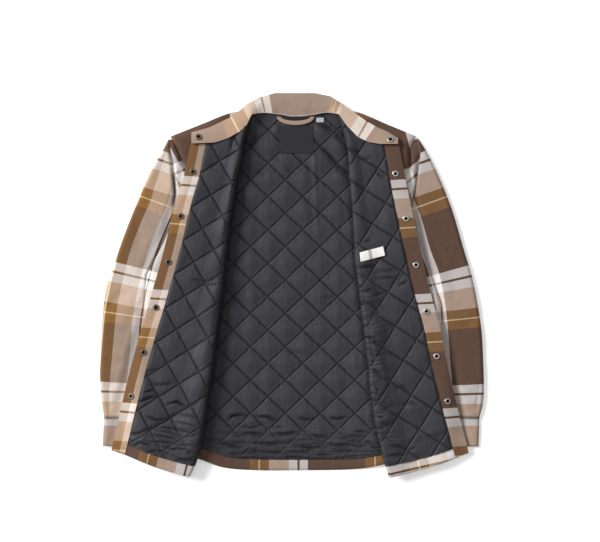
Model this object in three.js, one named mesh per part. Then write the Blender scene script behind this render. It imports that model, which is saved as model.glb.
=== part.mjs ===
// Open quilted shirt-jacket, laid flat on its back with both fronts folded back like lapels.
// Millimetres, +Z up. +Y points from hem to collar, so +X is the wearer's left side.
// The origin is on the floor, under the middle of the garment's plan.
import * as THREE from 'three';
import { mergeVertices } from 'three/addons/utils/BufferGeometryUtils.js';

// Cloth thicknesses
const FLANNEL = 1.6;
const LINING = 2.0;
const QUILT_RISE = 2.4;
const SEAM_GAP = 0.3;
const LYING_GAP = 0.5;
const SLOPE_GAP = 0.7;

// Quilting: diamonds of crossed stitch lines, 2 inches apart
const DIAMOND_WIDE = 73;
const DIAMOND_TALL = 70;
const PILLOW_POWER = 0.6;

// Sleeves and cuffs, pressed flat
const SLEEVE_THICK = 6.8;
const SLEEVE_WALL = 1.9;
const CUFF_THICK = 7.0;
const CUFF_WALL = 2.5;
const TUBE_EDGE = 2.5;
const TUBE_FULL_WIDTH = 22;
const ARMHOLE_GAP = 1.2;

// How far the sides of the body rise where the sleeves are tucked under them
const TUCK_RISE = 7.5;
const TUCK_START = 95;
const TUCK_FULL = 215;
const TUCK_TOP = 400;
const TUCK_TOP_FULL = 200;

// The fold of each front
const FOLD_SPACE = 3.4;
const FLAT_SPACE = 1.0;
const FOLD_EASE = 55;
const FOLD_REACH = 7.0;
const DROP_WIDTH = 56;

// Seam allowances and strips
const SEAM_ROUND = 16;
const LINING_INSET = 19;
const CORNER_INSET = 12;
const FACING_WIDTH = 30;
const HEM_FRACTION = 0.97;
const ARMHOLE_FRACTION = 7 / 16;

// Grid counts
const ROWS = 16;
const LINING_ROWS_EACH = 3;
const BACK_LINING_FLANK = [0, 0.08, 0.16, 0.22];
const BACK_LINING_MIDDLE_COLUMNS = 18;
const BACK_STOPS = [0, 0.04, 0.08, 0.12, 0.16, 0.2, 0.25, 0.31, 0.4];
const LOWER_STOPS = [0, 0.04, 0.12, 0.3, 0.5, 0.75, 1];
const LOWER_LINING_COLUMNS = 3;
const ROLL_STEPS = 4;
const TURNED_COLUMNS = 8;
const FACING_COLUMNS = 2;
const SLEEVE_ROWS = 14;
const SLEEVE_COLUMNS = 4;
const SLEEVE_TIP = 0.15;

// Outlines in plan, as x and y of each point, from the collar end down or from the side in
const SIDES = {
  right: {
    out: -1,
    armhole: [[-255, 311], [-243, 290], [-223, 242], [-221, 200], [-240, 158], [-267, 94], [-304, 21]],
    side: [[-304, 21], [-309, -32], [-309, -136], [-307, -242], [-305, -342]],
    fold: [[-82, 359], [-97, 315], [-110, 246], [-127, 149], [-142, 21], [-154, -78], [-174, -225],
      [-194, -346], [-213, -400]],
    edge: [[-213, 294], [-227, 227], [-246, 164], [-274, 52], [-328, -136], [-355, -242], [-379, -346]],
    turnedHem: [[-213, -400], [-278, -382], [-350, -355], [-379, -346]],
    turnedNeck: [[-82, 359], [-95, 334], [-110, 321], [-135, 307], [-173, 297], [-213, 294]],
    lowerHem: [[-305, -342], [-261, -372], [-213, -400]],
    shoulder: [[-255, 311], [-187, 337], [-119, 362], [-82, 359]],
    sleeveOuter: [[-255, 311], [-270, 282], [-293, 242], [-327, 166], [-356, 91], [-379, 25], [-394, -39],
      [-402, -165], [-401, -222], [-394, -279]],
    sleeveInner: [[-304, 21], [-299, -17], [-274, -74], [-255, -158], [-263, -242], [-271, -279]],
    cuffOuter: [[-394, -279], [-397, -337]],
    cuffInner: [[-271, -279], [-276, -338]],
    quiltStart: [-179, 114],
    snaps: [[-208, 237], [-233, 144], [-259, 48], [-285, -47], [-311, -141], [-337, -233]],
  },
  left: {
    out: 1,
    armhole: [[259, 312], [248, 286], [247, 246], [249, 200], [256, 136], [268, 84], [291, 15], [311, -38]],
    side: [[311, -38], [314, -136], [314, -242], [312, -342]],
    fold: [[94, 359], [113, 300], [120, 233], [127, 153], [132, 63], [142, -25], [156, -136], [165, -225],
      [180, -319], [201, -402]],
    edge: [[224, 293], [236, 226], [249, 163], [264, 94], [287, -6], [308, -86], [323, -162], [339, -229],
      [370, -352]],
    turnedHem: [[201, -402], [289, -380], [370, -352]],
    turnedNeck: [[94, 359], [110, 337], [121, 319], [138, 307], [159, 297], [184, 293], [224, 293]],
    lowerHem: [[312, -342], [264, -376], [201, -402]],
    shoulder: [[259, 312], [193, 338], [129, 363], [94, 359]],
    sleeveOuter: [[259, 312], [279, 281], [304, 232], [334, 157], [360, 70], [379, 6], [395, -85],
      [400, -162], [401, -237], [392, -279]],
    sleeveInner: [[311, -38], [298, -69], [277, -116], [264, -178], [266, -242], [270, -279]],
    cuffOuter: [[392, -279], [390, -338]],
    cuffInner: [[270, -279], [275, -340]],
    quiltStart: [133, 156],
    snaps: [[216, 233], [238, 139], [259, 42], [281, -55], [302, -149], [325, -243]],
  },
};
const BACK_NECK = [[-82, 359], [-64, 362], [-30, 359], [6, 354], [41, 357], [71, 362], [94, 359]];
const BACK_HEM = [[-305, -342], [-204, -362], [-144, -382], [-74, -388], [27, -388], [123, -386], [190, -376],
  [312, -342]];
const BACK_QUILT_START = [23, -95];

// The collar, station by station: neck seam x y z, then free edge x y z
const COLLAR_STATIONS = [
  [-211, 296, 21.5, -211, 319, 13.5],
  [-162, 298, 21.5, -173, 330, 13.5],
  [-135, 307, 21.5, -148, 342, 13.5],
  [-110, 321, 22.2, -127, 352, 14.0],
  [-95, 335, 22.2, -110, 365, 14.5],
  [-85, 357, 22.2, -95, 378, 15.0],
  [-64, 363, 12.0, -72, 392, 16.0],
  [-30, 360, 9.0, -36, 402, 17.0],
  [6, 355, 8.5, 6, 402, 17.5],
  [41, 358, 9.0, 48, 402, 17.0],
  [75, 364, 12.0, 81, 395, 16.0],
  [98, 357, 22.2, 107, 377, 15.0],
  [113, 335, 21.5, 130, 361, 14.5],
  [137, 310, 21.5, 155, 343, 14.0],
  [159, 299, 21.5, 180, 329, 13.5],
  [184, 295, 21.5, 201, 320, 13.5],
  [221, 295, 21.5, 221, 307, 13.5],
];

const COLLAR_THICK = 2.8;
const COLLAR_CROWN = 1.5;
const COLLAR_ROWS = 3;
const COLLAR_SNAP_SHARE = 0.5;
const COLLAR_SNAP_STATIONS = { right: 0.35, left: 15.45 };

// Pieces at the back neck, lying on the crests of the quilt
const QUILT_CREST = 6.6;
const TAPE_THICK = 0.7;
const NECK_TAPE = { left: -26, right: 40, low: 344, high: 353, z: QUILT_CREST, thick: TAPE_THICK };
const NECK_LABEL = { left: -26, right: 44, low: 277, high: 334, z: QUILT_CREST, thick: 0.8 };
const SIZE_TAB = { left: 50, right: 66, low: 342, high: 351, z: QUILT_CREST - 0.8, thick: 0.7 };
const LOOP = { x: 7, y: 353, wide: 35, deep: 13, band: 8.5, z: QUILT_CREST + TAPE_THICK + 0.3, thick: 2.0 };
const LOOP_STEPS = 14;

// Welt of the inner pocket on the wearer's left, corner by corner from the fold
const WELT_CORNERS = [[141, 68], [190, 81], [194, 62], [143, 49]];
const WELT_THICK = 1.8;

// Snaps: radius and height of each point of the profile
const SNAP_PROFILE = [[0, 0], [7.1, 0], [7.35, 0.9], [6.2, 1.9], [3.3, 1.9], [2.8, 0.9], [0, 0.9]];
const SNAP_SEGMENTS = 10;
const SNAP_SEAT = 0.6;

const FLANNEL_BROWN = 0x6e5246;
const FLANNEL_TAN = 0xa88f7f;
const NYLON_CHARCOAL = 0x3a3a3f;
const FLANNEL_CREAM = 0xe8ddd0;
const LABEL_GREY = 0xb4b8bd;
const SNAP_STEEL = 0x9a9a98;

// Plan helpers

/** Smooth step from 0 at a to 1 at b. */
function ease(a, b, value) {
  return THREE.MathUtils.smoothstep((value - a) / (b - a), 0, 1);
}

/** A curve through plan points, read by its share of length. */
function curveThrough(points) {
  const curve = new THREE.SplineCurve(points.map(([x, y]) => new THREE.Vector2(x, y)));
  curve.arcLengthDivisions = 300;
  return (t) => curve.getPointAt(THREE.MathUtils.clamp(t, 0, 1));
}

/** Two curves read as one, the first up to the share given. */
function joined(first, second, share) {
  return (t) => (t < share ? first(t / share) : second((t - share) / (1 - share)));
}

/** The same curve with each point moved by a plan vector that may change along it. */
function moved(curve, shift) {
  return (t) => {
    const [dx, dy] = shift(t);
    const p = curve(t);
    return new THREE.Vector2(p.x + dx, p.y + dy);
  };
}

/** A plan patch between four curves: u runs from start to end, v from top to bottom. */
function patch(top, bottom, start, end) {
  const corners = [start(0), end(0), start(1), end(1)];
  return (u, v) => {
    const sides = start(v).multiplyScalar(1 - u).add(end(v).multiplyScalar(u));
    const ends = top(u).multiplyScalar(1 - v).add(bottom(u).multiplyScalar(v));
    const weights = [(1 - u) * (1 - v), u * (1 - v), (1 - u) * v, u * v];
    corners.forEach((corner, k) => sides.addScaledVector(corner, -weights[k]));
    return sides.add(ends);
  };
}

/** The x of a curve that falls steadily from top to bottom, as a function of y. */
function acrossAt(curve, steps = 120) {
  const points = Array.from({ length: steps + 1 }, (_, k) => curve(k / steps));
  return (y) => {
    const below = points.findIndex((p) => p.y <= y);
    if (below <= 0) return below === 0 ? points[0].x : points[steps].x;
    const [a, b] = [points[below - 1], points[below]];
    return a.x + (b.x - a.x) * (a.y - y) / (a.y - b.y);
  };
}

/** How high the quilt stands at a place of the cloth, from 0 on a stitch line to 1 in a diamond. */
function pillow(x, y) {
  const a = Math.abs(Math.sin(Math.PI * (x / DIAMOND_WIDE + y / DIAMOND_TALL)));
  const b = Math.abs(Math.sin(Math.PI * (x / DIAMOND_WIDE - y / DIAMOND_TALL)));
  return (a * b) ** PILLOW_POWER;
}

/** Height of the garment's underside: flat in the middle, raised where a sleeve lies beneath. */
function floorRise(x, y) {
  return TUCK_RISE * ease(TUCK_START, TUCK_FULL, Math.abs(x)) * (1 - ease(TUCK_TOP_FULL, TUCK_TOP, y));
}

/** The rows of the shell's layers, as shares of the length, denser at the shoulder and the hem. */
function shellRows() {
  const even = Array.from({ length: ROWS - 1 }, (_, j) => (j + 1) / ROWS);
  return [0, 0.01, 0.025, ...even, HEM_FRACTION - 0.001, 0.998];
}

/** A row of a lining: its rows divide the shell's, and the last ones end at the turned-up hem. */
function liningRow(j, each) {
  const last = (ROWS - 1) * each;
  const end = HEM_FRACTION - 0.001;
  const start = (ROWS - 1) / ROWS;
  return j <= last ? j / (ROWS * each) : start + (end - start) * (j - last) / each;
}

// Levels above the underside
const BACK_TOP = FLANNEL;
const BACK_LINING_BOTTOM = BACK_TOP + SEAM_GAP;
const BACK_LINING_CREST = BACK_LINING_BOTTOM + SLOPE_GAP + LINING + QUILT_RISE;
const LOWER_LINING_BOTTOM = BACK_LINING_CREST + LYING_GAP;
const LOWER_SHELL_BOTTOM = LOWER_LINING_BOTTOM + LINING + SEAM_GAP;
const LOWER_SHELL_TOP = LOWER_SHELL_BOTTOM + FLANNEL;
const ROLL_RADIUS = (FOLD_SPACE + FLANNEL) / 2;
const ROLL_CENTRE = LOWER_SHELL_TOP - FLANNEL / 2 + ROLL_RADIUS;

// Closed shells

/**
 * A closed wall between an outer and an inner grid of points. The inner grid may be coarser, every
 * stepU columns and stepV rows of the outer one.
 */
function closedShell(columns, rows, outer, inner, stepU = 1, stepV = 1) {
  const positions = [];
  const add = (point) => positions.push(point.x, point.y, point.z) / 3 - 1;
  const grid = (read, du, dv) => {
    const ids = [];
    for (let j = 0; j <= rows; j += dv) {
      const row = [];
      for (let i = 0; i <= columns; i += du) row.push(add(read(i, j)));
      ids.push(row);
    }
    return ids;
  };
  const fine = grid(outer, 1, 1);
  const coarse = grid(inner, stepU, stepV);
  const triangles = [];
  const rise = (a, b) => Math.abs(positions[3 * a + 2] - positions[3 * b + 2]);
  const quad = (a, b, c, d, quilted) => {
    if (quilted && rise(a, c) > rise(b, d)) triangles.push(a, b, d, b, c, d);
    else triangles.push(a, b, c, a, c, d);
  };
  const cover = (ids, turned) => {
    for (let j = 0; j + 1 < ids.length; j += 1) {
      for (let i = 0; i + 1 < ids[0].length; i += 1) {
        const [a, b, c, d] = [ids[j][i], ids[j][i + 1], ids[j + 1][i + 1], ids[j + 1][i]];
        if (turned) quad(a, d, c, b, false);
        else quad(a, b, c, d, stepV > 1);
      }
    }
  };
  cover(fine, false);
  cover(coarse, true);
  const rim = (ids) => {
    const last = ids.length - 1;
    const end = ids[0].length - 1;
    const loop = [];
    for (let i = 0; i < end; i += 1) loop.push(ids[0][i]);
    for (let j = 0; j < last; j += 1) loop.push(ids[j][end]);
    for (let i = end; i > 0; i -= 1) loop.push(ids[last][i]);
    for (let j = last; j > 0; j -= 1) loop.push(ids[j][0]);
    return loop;
  };
  const fineRim = rim(fine);
  const coarseRim = rim(coarse);
  const spans = [];
  for (let i = 0; i < columns; i += stepU) spans.push(stepU);
  for (let j = 0; j < rows; j += stepV) spans.push(stepV);
  spans.push(...spans.slice(0, columns / stepU), ...spans.slice(columns / stepU));
  let at = 0;
  spans.forEach((span, k) => {
    const from = coarseRim[k];
    const to = coarseRim[(k + 1) % coarseRim.length];
    const half = Math.floor(span / 2);
    for (let m = 0; m < span; m += 1) {
      const here = fineRim[at + m];
      const next = fineRim[(at + m + 1) % fineRim.length];
      if (m === half) triangles.push(from, to, here);
      triangles.push(next, here, m < half ? from : to);
    }
    at += span;
  });
  return outwardGeometry(positions, triangles);
}

/** A closed tube wall: rings of points outside and inside, open at both ends. */
function closedTube(rings, count, outer, inner) {
  const positions = [];
  const layer = (read) => Array.from({ length: rings }, (_, j) => (
    Array.from({ length: count }, (_unused, i) => {
      const point = read(i, j);
      positions.push(point.x, point.y, point.z);
      return positions.length / 3 - 1;
    })
  ));
  const outside = layer(outer);
  const inside = layer(inner);
  const triangles = [];
  const quad = (a, b, c, d) => triangles.push(a, b, c, a, c, d);
  for (let i = 0; i < count; i += 1) {
    const n = (i + 1) % count;
    for (let j = 0; j + 1 < rings; j += 1) {
      quad(outside[j][i], outside[j][n], outside[j + 1][n], outside[j + 1][i]);
      quad(inside[j][i], inside[j + 1][i], inside[j + 1][n], inside[j][n]);
    }
    quad(outside[0][n], outside[0][i], inside[0][i], inside[0][n]);
    quad(outside[rings - 1][i], outside[rings - 1][n], inside[rings - 1][n], inside[rings - 1][i]);
  }
  return outwardGeometry(positions, triangles);
}

/** A geometry of shared points whose faces point outwards. */
function outwardGeometry(positions, triangles) {
  const point = (id) => new THREE.Vector3(...positions.slice(3 * id, 3 * id + 3));
  let volume = 0;
  for (let k = 0; k < triangles.length; k += 3) {
    const [a, b, c] = [point(triangles[k]), point(triangles[k + 1]), point(triangles[k + 2])];
    volume += a.dot(b.cross(c));
  }
  const order = [...triangles];
  if (volume < 0) {
    for (let k = 0; k < order.length; k += 3) [order[k + 1], order[k + 2]] = [order[k + 2], order[k + 1]];
  }
  const geometry = new THREE.BufferGeometry();
  geometry.setAttribute('position', new THREE.Float32BufferAttribute(positions, 3));
  geometry.setIndex(order);
  geometry.computeVertexNormals();
  return geometry;
}

const garment = new THREE.Group();

/** Adds a named piece with its own finish. */
function addPiece(name, geometry, color, roughness = 0.9, metalness = 0) {
  const mesh = new THREE.Mesh(geometry, new THREE.MeshStandardMaterial({ color, roughness, metalness }));
  mesh.name = name;
  garment.add(mesh);
  return mesh;
}

/** Everything that is worked out once for one side of the garment. */
function sideShape(side) {
  const armhole = curveThrough(side.armhole);
  const outline = joined(armhole, curveThrough(side.side), ARMHOLE_FRACTION);
  const foldEdge = curveThrough(side.fold);
  const rollLine = moved(foldEdge, () => [side.out * FOLD_REACH, 0]);
  const neckShift = (t) => [side.out * FOLD_REACH * (1 - t), 0];
  const endShift = (t) => [side.out * FOLD_REACH * t, 0];
  const shoulder = moved(curveThrough(side.shoulder), endShift);
  const lowerHem = moved(curveThrough(side.lowerHem), endShift);
  const lower = patch(shoulder, lowerHem, outline, rollLine);
  const cornerInset = LINING_INSET + CORNER_INSET;
  const inset = (t) => [-side.out * cornerInset * (1 - t), -LINING_INSET * (1 - ease(0.6, 1, t))];
  const drawnIn = (t) => [
    -side.out * (cornerInset - CORNER_INSET * ease(0, 0.15, t)), -LINING_INSET * (1 - ease(0, 0.2, t)),
  ];
  const hemInset = (t) => [-side.out * LINING_INSET * (1 - t), 0];
  const lowerLining = patch(
    moved(shoulder, inset), moved(lowerHem, hemInset), moved(outline, drawnIn), rollLine,
  );
  const turned = patch(
    moved(curveThrough(side.turnedNeck), neckShift), moved(curveThrough(side.turnedHem), neckShift),
    rollLine, curveThrough(side.edge),
  );
  const outlineX = acrossAt(outline);
  const foldX = acrossAt(rollLine);
  const [top, bottom] = [foldEdge(0), foldEdge(1)];
  const along = bottom.clone().sub(top).normalize();
  const away = new THREE.Vector2(-along.y, along.x);
  if (away.x * side.out < 0) away.negate();

  /** Level of what lies under the turned-back front. */
  const bed = (x, y) => {
    const fromFold = Math.abs(x - foldX(y));
    const space = FOLD_SPACE + (FLAT_SPACE - FOLD_SPACE) * ease(0, FOLD_EASE, fromFold);
    const onBody = floorRise(x, y) + LOWER_SHELL_TOP + space;
    const beyond = ease(2, DROP_WIDTH, side.out * (x - outlineX(y)));
    return onBody + (SLEEVE_THICK + LYING_GAP - onBody) * beyond;
  };

  /** Height of the quilt at a place of the turned-back front, in the uncut cloth's own lattice. */
  const quilt = (x, y) => {
    const from = new THREE.Vector2(x - top.x, y - top.y);
    const distance = from.dot(away);
    const flat = new THREE.Vector2(x, y).addScaledVector(away, -2 * distance);
    const start = new THREE.Vector2(side.quiltStart[0] - top.x, side.quiltStart[1] - top.y);
    const startFlat = new THREE.Vector2(...side.quiltStart).addScaledVector(away, -2 * start.dot(away));
    return pillow(flat.x - startFlat.x, flat.y - startFlat.y);
  };
  return { side, armhole, outline, rollLine, lower, lowerLining, turned, bed, quilt };
}

/** Raises the edge of a lower layer from the level that it is sewn at. */
function seamRound(distance) {
  const share = THREE.MathUtils.clamp(distance / SEAM_ROUND, 0, 1);
  return Math.sqrt(1 - (1 - share) ** 2);
}

/** A flannel front: under layer, rolled fold and turned-back layer in one wall, with its hem turned up. */
function frontShell(shape) {
  const { side, lower, turned, rollLine, bed } = shape;
  const columns = LOWER_STOPS.length - 1 + ROLL_STEPS + TURNED_COLUMNS + FACING_COLUMNS;
  const stations = shellRows().map((v) => ({ v, outside: -FLANNEL / 2, inside: FLANNEL / 2 }));
  const fold = FLANNEL + SEAM_GAP;
  stations.push({ v: 1, outside: fold / 2, inside: FLANNEL / 2 + 0.1, insideV: 0.9985 });
  stations.push({ v: 0.998, outside: fold + FLANNEL / 2, inside: fold - FLANNEL / 2 });
  stations.push({ v: HEM_FRACTION, outside: fold + FLANNEL / 2, inside: fold - FLANNEL / 2 });

  const place = (i, v, offset) => {
    if (i >= LOWER_STOPS.length && v > 0 && v < 1 / ROWS) {
      return place(i, 0, offset).lerp(place(i, 1 / ROWS, offset), v * ROWS);
    }
    if (i < LOWER_STOPS.length) {
      const u = LOWER_STOPS[i];
      const p = lower(u, v);
      const rise = floorRise(p.x, p.y);
      const high = rise + LOWER_SHELL_BOTTOM + FLANNEL / 2;
      const hemLift = 2 * fold * ease(0.86, (ROWS - 1) / ROWS, v);
      const sewn = rise + BACK_TOP + SEAM_GAP + FLANNEL / 2 + hemLift;
      const fromSide = p.distanceTo(lower(0, v));
      const fromShoulder = p.distanceTo(lower(u, 0)) + LINING_INSET * ease(0.45, 0.8, u);
      const z = sewn + (high - sewn) * Math.min(seamRound(fromSide), seamRound(fromShoulder));
      return new THREE.Vector3(p.x, p.y, z - offset);
    }
    const turn = i - LOWER_STOPS.length + 1;
    if (turn < ROLL_STEPS) {
      const angle = -Math.PI / 2 + Math.PI * turn / ROLL_STEPS;
      const p = rollLine(v);
      const centre = floorRise(p.x, p.y) + ROLL_CENTRE;
      const radius = ROLL_RADIUS + offset;
      return new THREE.Vector3(
        p.x - side.out * radius * Math.cos(angle), p.y, centre + radius * Math.sin(angle),
      );
    }
    const u = turnedStop(shape, turn - ROLL_STEPS, v);
    const p = turned(u, v);
    return new THREE.Vector3(p.x, p.y, bed(p.x, p.y) + FLANNEL / 2 + offset);
  };
  const outer = (i, j) => place(i, stations[j].v, stations[j].outside);
  const inner = (i, j) => place(i, stations[j].insideV ?? stations[j].v, stations[j].inside);
  return closedShell(columns, stations.length - 1, outer, inner);
}

/** Share across the turned-back layer at a column, the last of which carry the facing. */
function turnedStop(shape, column, v) {
  const width = shape.turned(0, v).distanceTo(shape.turned(1, v));
  const facingStart = 1 - FACING_WIDTH / width;
  if (column <= TURNED_COLUMNS) return facingStart * column / TURNED_COLUMNS;
  return facingStart + (1 - facingStart) * (column - TURNED_COLUMNS) / FACING_COLUMNS;
}

/** The quilted lining of a front, from under it, round the fold and over the turned-back layer. */
function frontLining(shape) {
  const { side, lowerLining, turned, rollLine, bed, quilt } = shape;
  const columns = LOWER_LINING_COLUMNS + ROLL_STEPS + TURNED_COLUMNS;
  const rows = ROWS * LINING_ROWS_EACH;
  const radiusInside = ROLL_RADIUS + FLANNEL / 2 + SEAM_GAP;

  const place = (i, j, thick) => {
    const v = liningRow(j, LINING_ROWS_EACH);
    if (i <= LOWER_LINING_COLUMNS) {
      const p = lowerLining(i / LOWER_LINING_COLUMNS, v);
      const pressed = i === LOWER_LINING_COLUMNS ? 0 : SLOPE_GAP;
      const below = thick(0) === 0 ? LINING - pressed : 0;
      const z = floorRise(p.x, p.y) + LOWER_LINING_BOTTOM + below;
      return new THREE.Vector3(p.x, p.y, z);
    }
    const turn = i - LOWER_LINING_COLUMNS;
    if (turn < ROLL_STEPS) {
      const share = turn / ROLL_STEPS;
      const angle = -Math.PI / 2 + Math.PI * share;
      const p = rollLine(v);
      const centre = floorRise(p.x, p.y) + ROLL_CENTRE;
      const radius = radiusInside + thick(quilt(p.x, p.y) * share);
      return new THREE.Vector3(
        p.x - side.out * radius * Math.cos(angle), p.y, centre + radius * Math.sin(angle),
      );
    }
    const width = turned(0, v).distanceTo(turned(1, v));
    const gapShare = turn === columns - LOWER_LINING_COLUMNS ? SEAM_GAP / width : 0;
    const u = turnedStop(shape, turn - ROLL_STEPS, v) - gapShare;
    const p = turned(u, v);
    const z = bed(p.x, p.y) + FLANNEL + SEAM_GAP + thick(quilt(p.x, p.y));
    return new THREE.Vector3(p.x, p.y, z);
  };
  const outer = (i, j) => place(i, j, (share) => LINING + QUILT_RISE * share);
  const inner = (i, j) => place(i, j, () => 0);
  return closedShell(columns, rows, outer, inner, 1, LINING_ROWS_EACH);
}

/** The plaid strip down the front edge of the turned-back layer. */
function facing(shape) {
  const { turned, bed } = shape;
  const place = (i, j, level) => {
    const v = j === ROWS ? HEM_FRACTION - 0.001 : j / ROWS;
    const u = turnedStop(shape, TURNED_COLUMNS + i, v);
    const p = turned(u, v);
    return new THREE.Vector3(p.x, p.y, bed(p.x, p.y) + FLANNEL + SEAM_GAP + level);
  };
  return closedShell(FACING_COLUMNS, ROWS, (i, j) => place(i, j, FLANNEL), (i, j) => place(i, j, 0));
}

/** A flattened tube between two edges, with a ring of points at each share of their length. */
function flatTube(first, second, shares, thick, wall, columns) {
  const half = thick / 2;
  const ring = [];
  ring.push({ u: 0, inset: 0, z: half, zIn: half });
  ring.push({ u: 0, inset: TUBE_EDGE, z: thick * 0.96, zIn: thick - wall });
  for (let i = 1; i < columns; i += 1) ring.push({ u: i / columns, inset: 0, z: thick, zIn: thick - wall });
  ring.push({ u: 1, inset: -TUBE_EDGE, z: thick * 0.96, zIn: thick - wall });
  ring.push({ u: 1, inset: 0, z: half, zIn: half });
  ring.push({ u: 1, inset: -TUBE_EDGE, z: 0, zIn: wall });
  for (let i = columns - 1; i > 0; i -= 1) ring.push({ u: i / columns, inset: 0, z: 0, zIn: wall });
  ring.push({ u: 0, inset: TUBE_EDGE, z: 0, zIn: wall });
  const read = (i, j, within) => {
    const [a, b] = [first(shares[j]), second(shares[j])];
    const width = a.distanceTo(b);
    const { u, inset, z, zIn } = ring[i];
    const atEdge = u === 0 || u === 1;
    const extra = within && atEdge ? wall * (u === 0 ? 1 : -1) : 0;
    const shrunk = (inset + extra) * Math.min(1, width / TUBE_FULL_WIDTH);
    const p = a.lerp(b, u + shrunk / width);
    return new THREE.Vector3(p.x, p.y, within ? zIn : z);
  };
  const outer = (i, j) => read(i, j, false);
  return closedTube(shares.length, ring.length, outer, (i, j) => read(i, j, true));
}

/** A sleeve from the shoulder's tip to the cuff seam, its inner edge first along the armhole. */
function sleeve(shape) {
  const { side, armhole } = shape;
  const clear = (t) => [side.out * ARMHOLE_GAP * (1 - t), 0];
  const outer = moved(curveThrough(side.sleeveOuter), clear);
  const seam = moved(armhole, () => [side.out * ARMHOLE_GAP, 0]);
  const inner = joined(seam, moved(curveThrough(side.sleeveInner), clear), 0.5);
  const shares = Array.from({ length: SLEEVE_ROWS + 1 }, (_, j) => Math.max(j, SLEEVE_TIP) / SLEEVE_ROWS);
  return flatTube(outer, inner, shares, SLEEVE_THICK, SLEEVE_WALL, SLEEVE_COLUMNS);
}

/** A cuff: a doubled band sewn to the end of the sleeve. */
function cuff(shape) {
  const { side } = shape;
  const drop = () => [0, -SEAM_GAP];
  const outer = moved(curveThrough(side.cuffOuter), drop);
  const inner = moved(curveThrough(side.cuffInner), drop);
  return flatTube(outer, inner, [0, 0.5, 1], CUFF_THICK, CUFF_WALL, SLEEVE_COLUMNS);
}

/** The back of the shell, with its shirt-tail hem turned up inside. */
function backShell(plan) {
  const fold = FLANNEL + SEAM_GAP;
  const stations = [];
  for (const v of shellRows()) stations.push({ v, low: 0, high: FLANNEL });
  stations.push({ v: 1, low: fold / 2 + FLANNEL / 2, high: fold / 2 + FLANNEL / 2, highV: 0.9985 });
  stations.push({ v: 0.998, low: fold + FLANNEL, high: fold });
  stations.push({ v: HEM_FRACTION, low: fold + FLANNEL, high: fold });
  const stops = [...BACK_STOPS, 0.5, ...BACK_STOPS.toReversed().map((u) => 1 - u)];
  const columns = stops.length - 1;
  const read = (i, v, level) => {
    const p = plan(stops[i], v);
    return new THREE.Vector3(p.x, p.y, floorRise(p.x, p.y) + level);
  };
  const outer = (i, j) => read(i, stations[j].v, stations[j].low);
  const inner = (i, j) => read(i, stations[j].highV ?? stations[j].v, stations[j].high);
  return closedShell(columns, stations.length - 1, outer, inner);
}

/** The quilted lining of the back, down to the hem's turned-up edge. */
function backLining(plan) {
  const flank = BACK_LINING_FLANK;
  const [start, count] = [flank.at(-1), BACK_LINING_MIDDLE_COLUMNS];
  const middle = Array.from({ length: count - 1 }, (_, k) => start + (1 - 2 * start) * (k + 1) / count);
  const stops = [...flank, ...middle, ...flank.toReversed().map((u) => 1 - u)];
  const [columns, rows] = [stops.length - 1, ROWS * LINING_ROWS_EACH];
  const read = (i, j, thick) => {
    const p = plan(stops[i], liningRow(j, LINING_ROWS_EACH));
    const z = floorRise(p.x, p.y) + BACK_LINING_BOTTOM + SLOPE_GAP * ease(60, TUCK_START, Math.abs(p.x));
    return new THREE.Vector3(p.x, p.y, z + thick(p));
  };
  const crest = (p) => LINING + QUILT_RISE * pillow(p.x - BACK_QUILT_START[0], p.y - BACK_QUILT_START[1]);
  const plain = (i, j) => read(i, j, () => 0);
  return closedShell(columns, rows, (i, j) => read(i, j, crest), plain, 1, LINING_ROWS_EACH);
}

/** A point of the collar: s counts stations along it, t goes from the neck seam to the free edge. */
function collarPoint(s, t, level) {
  const i = Math.min(Math.floor(s), COLLAR_STATIONS.length - 2);
  const station = COLLAR_STATIONS[i].map((value, k) => value + (COLLAR_STATIONS[i + 1][k] - value) * (s - i));
  const [ax, ay, az, bx, by, bz] = station;
  const neckZ = az + floorRise(ax, ay);
  const freeZ = bz + floorRise(bx, by);
  const crown = COLLAR_CROWN * Math.sin(Math.PI * t);
  const z = neckZ + (freeZ - neckZ) * t + crown + level;
  return new THREE.Vector3(ax + (bx - ax) * t, ay + (by - ay) * t, z);
}

/** The band collar, inner side up, from the neck seam to its free edge. */
function collar() {
  const columns = COLLAR_STATIONS.length - 1;
  const rows = COLLAR_ROWS;
  const outer = (i, j) => collarPoint(i, j / rows, COLLAR_THICK);
  return closedShell(columns, rows, outer, (i, j) => collarPoint(i, j / rows, 0));
}

/** A flat piece over a rectangle of plan, resting at one level. */
function flatPiece({ left, right, low, high, z, thick }) {
  const place = (i, j, level) => (
    new THREE.Vector3(left + (right - left) * i / 2, high + (low - high) * j / 2, z + level)
  );
  return closedShell(2, 2, (i, j) => place(i, j, thick), (i, j) => place(i, j, 0));
}

/** The hanging loop: a flat band bowed down from the neck seam. */
function hangingLoop() {
  const { x, y, wide, deep, band, z, thick } = LOOP;
  const place = (i, j, level) => {
    const angle = Math.PI * i / LOOP_STEPS;
    const away = band * (0.5 - j);
    return new THREE.Vector3(
      x - (wide + away) * Math.cos(angle), y - (deep + away) * Math.sin(angle), z + level,
    );
  };
  return closedShell(LOOP_STEPS, 1, (i, j) => place(i, j, thick), (i, j) => place(i, j, 0));
}

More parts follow.
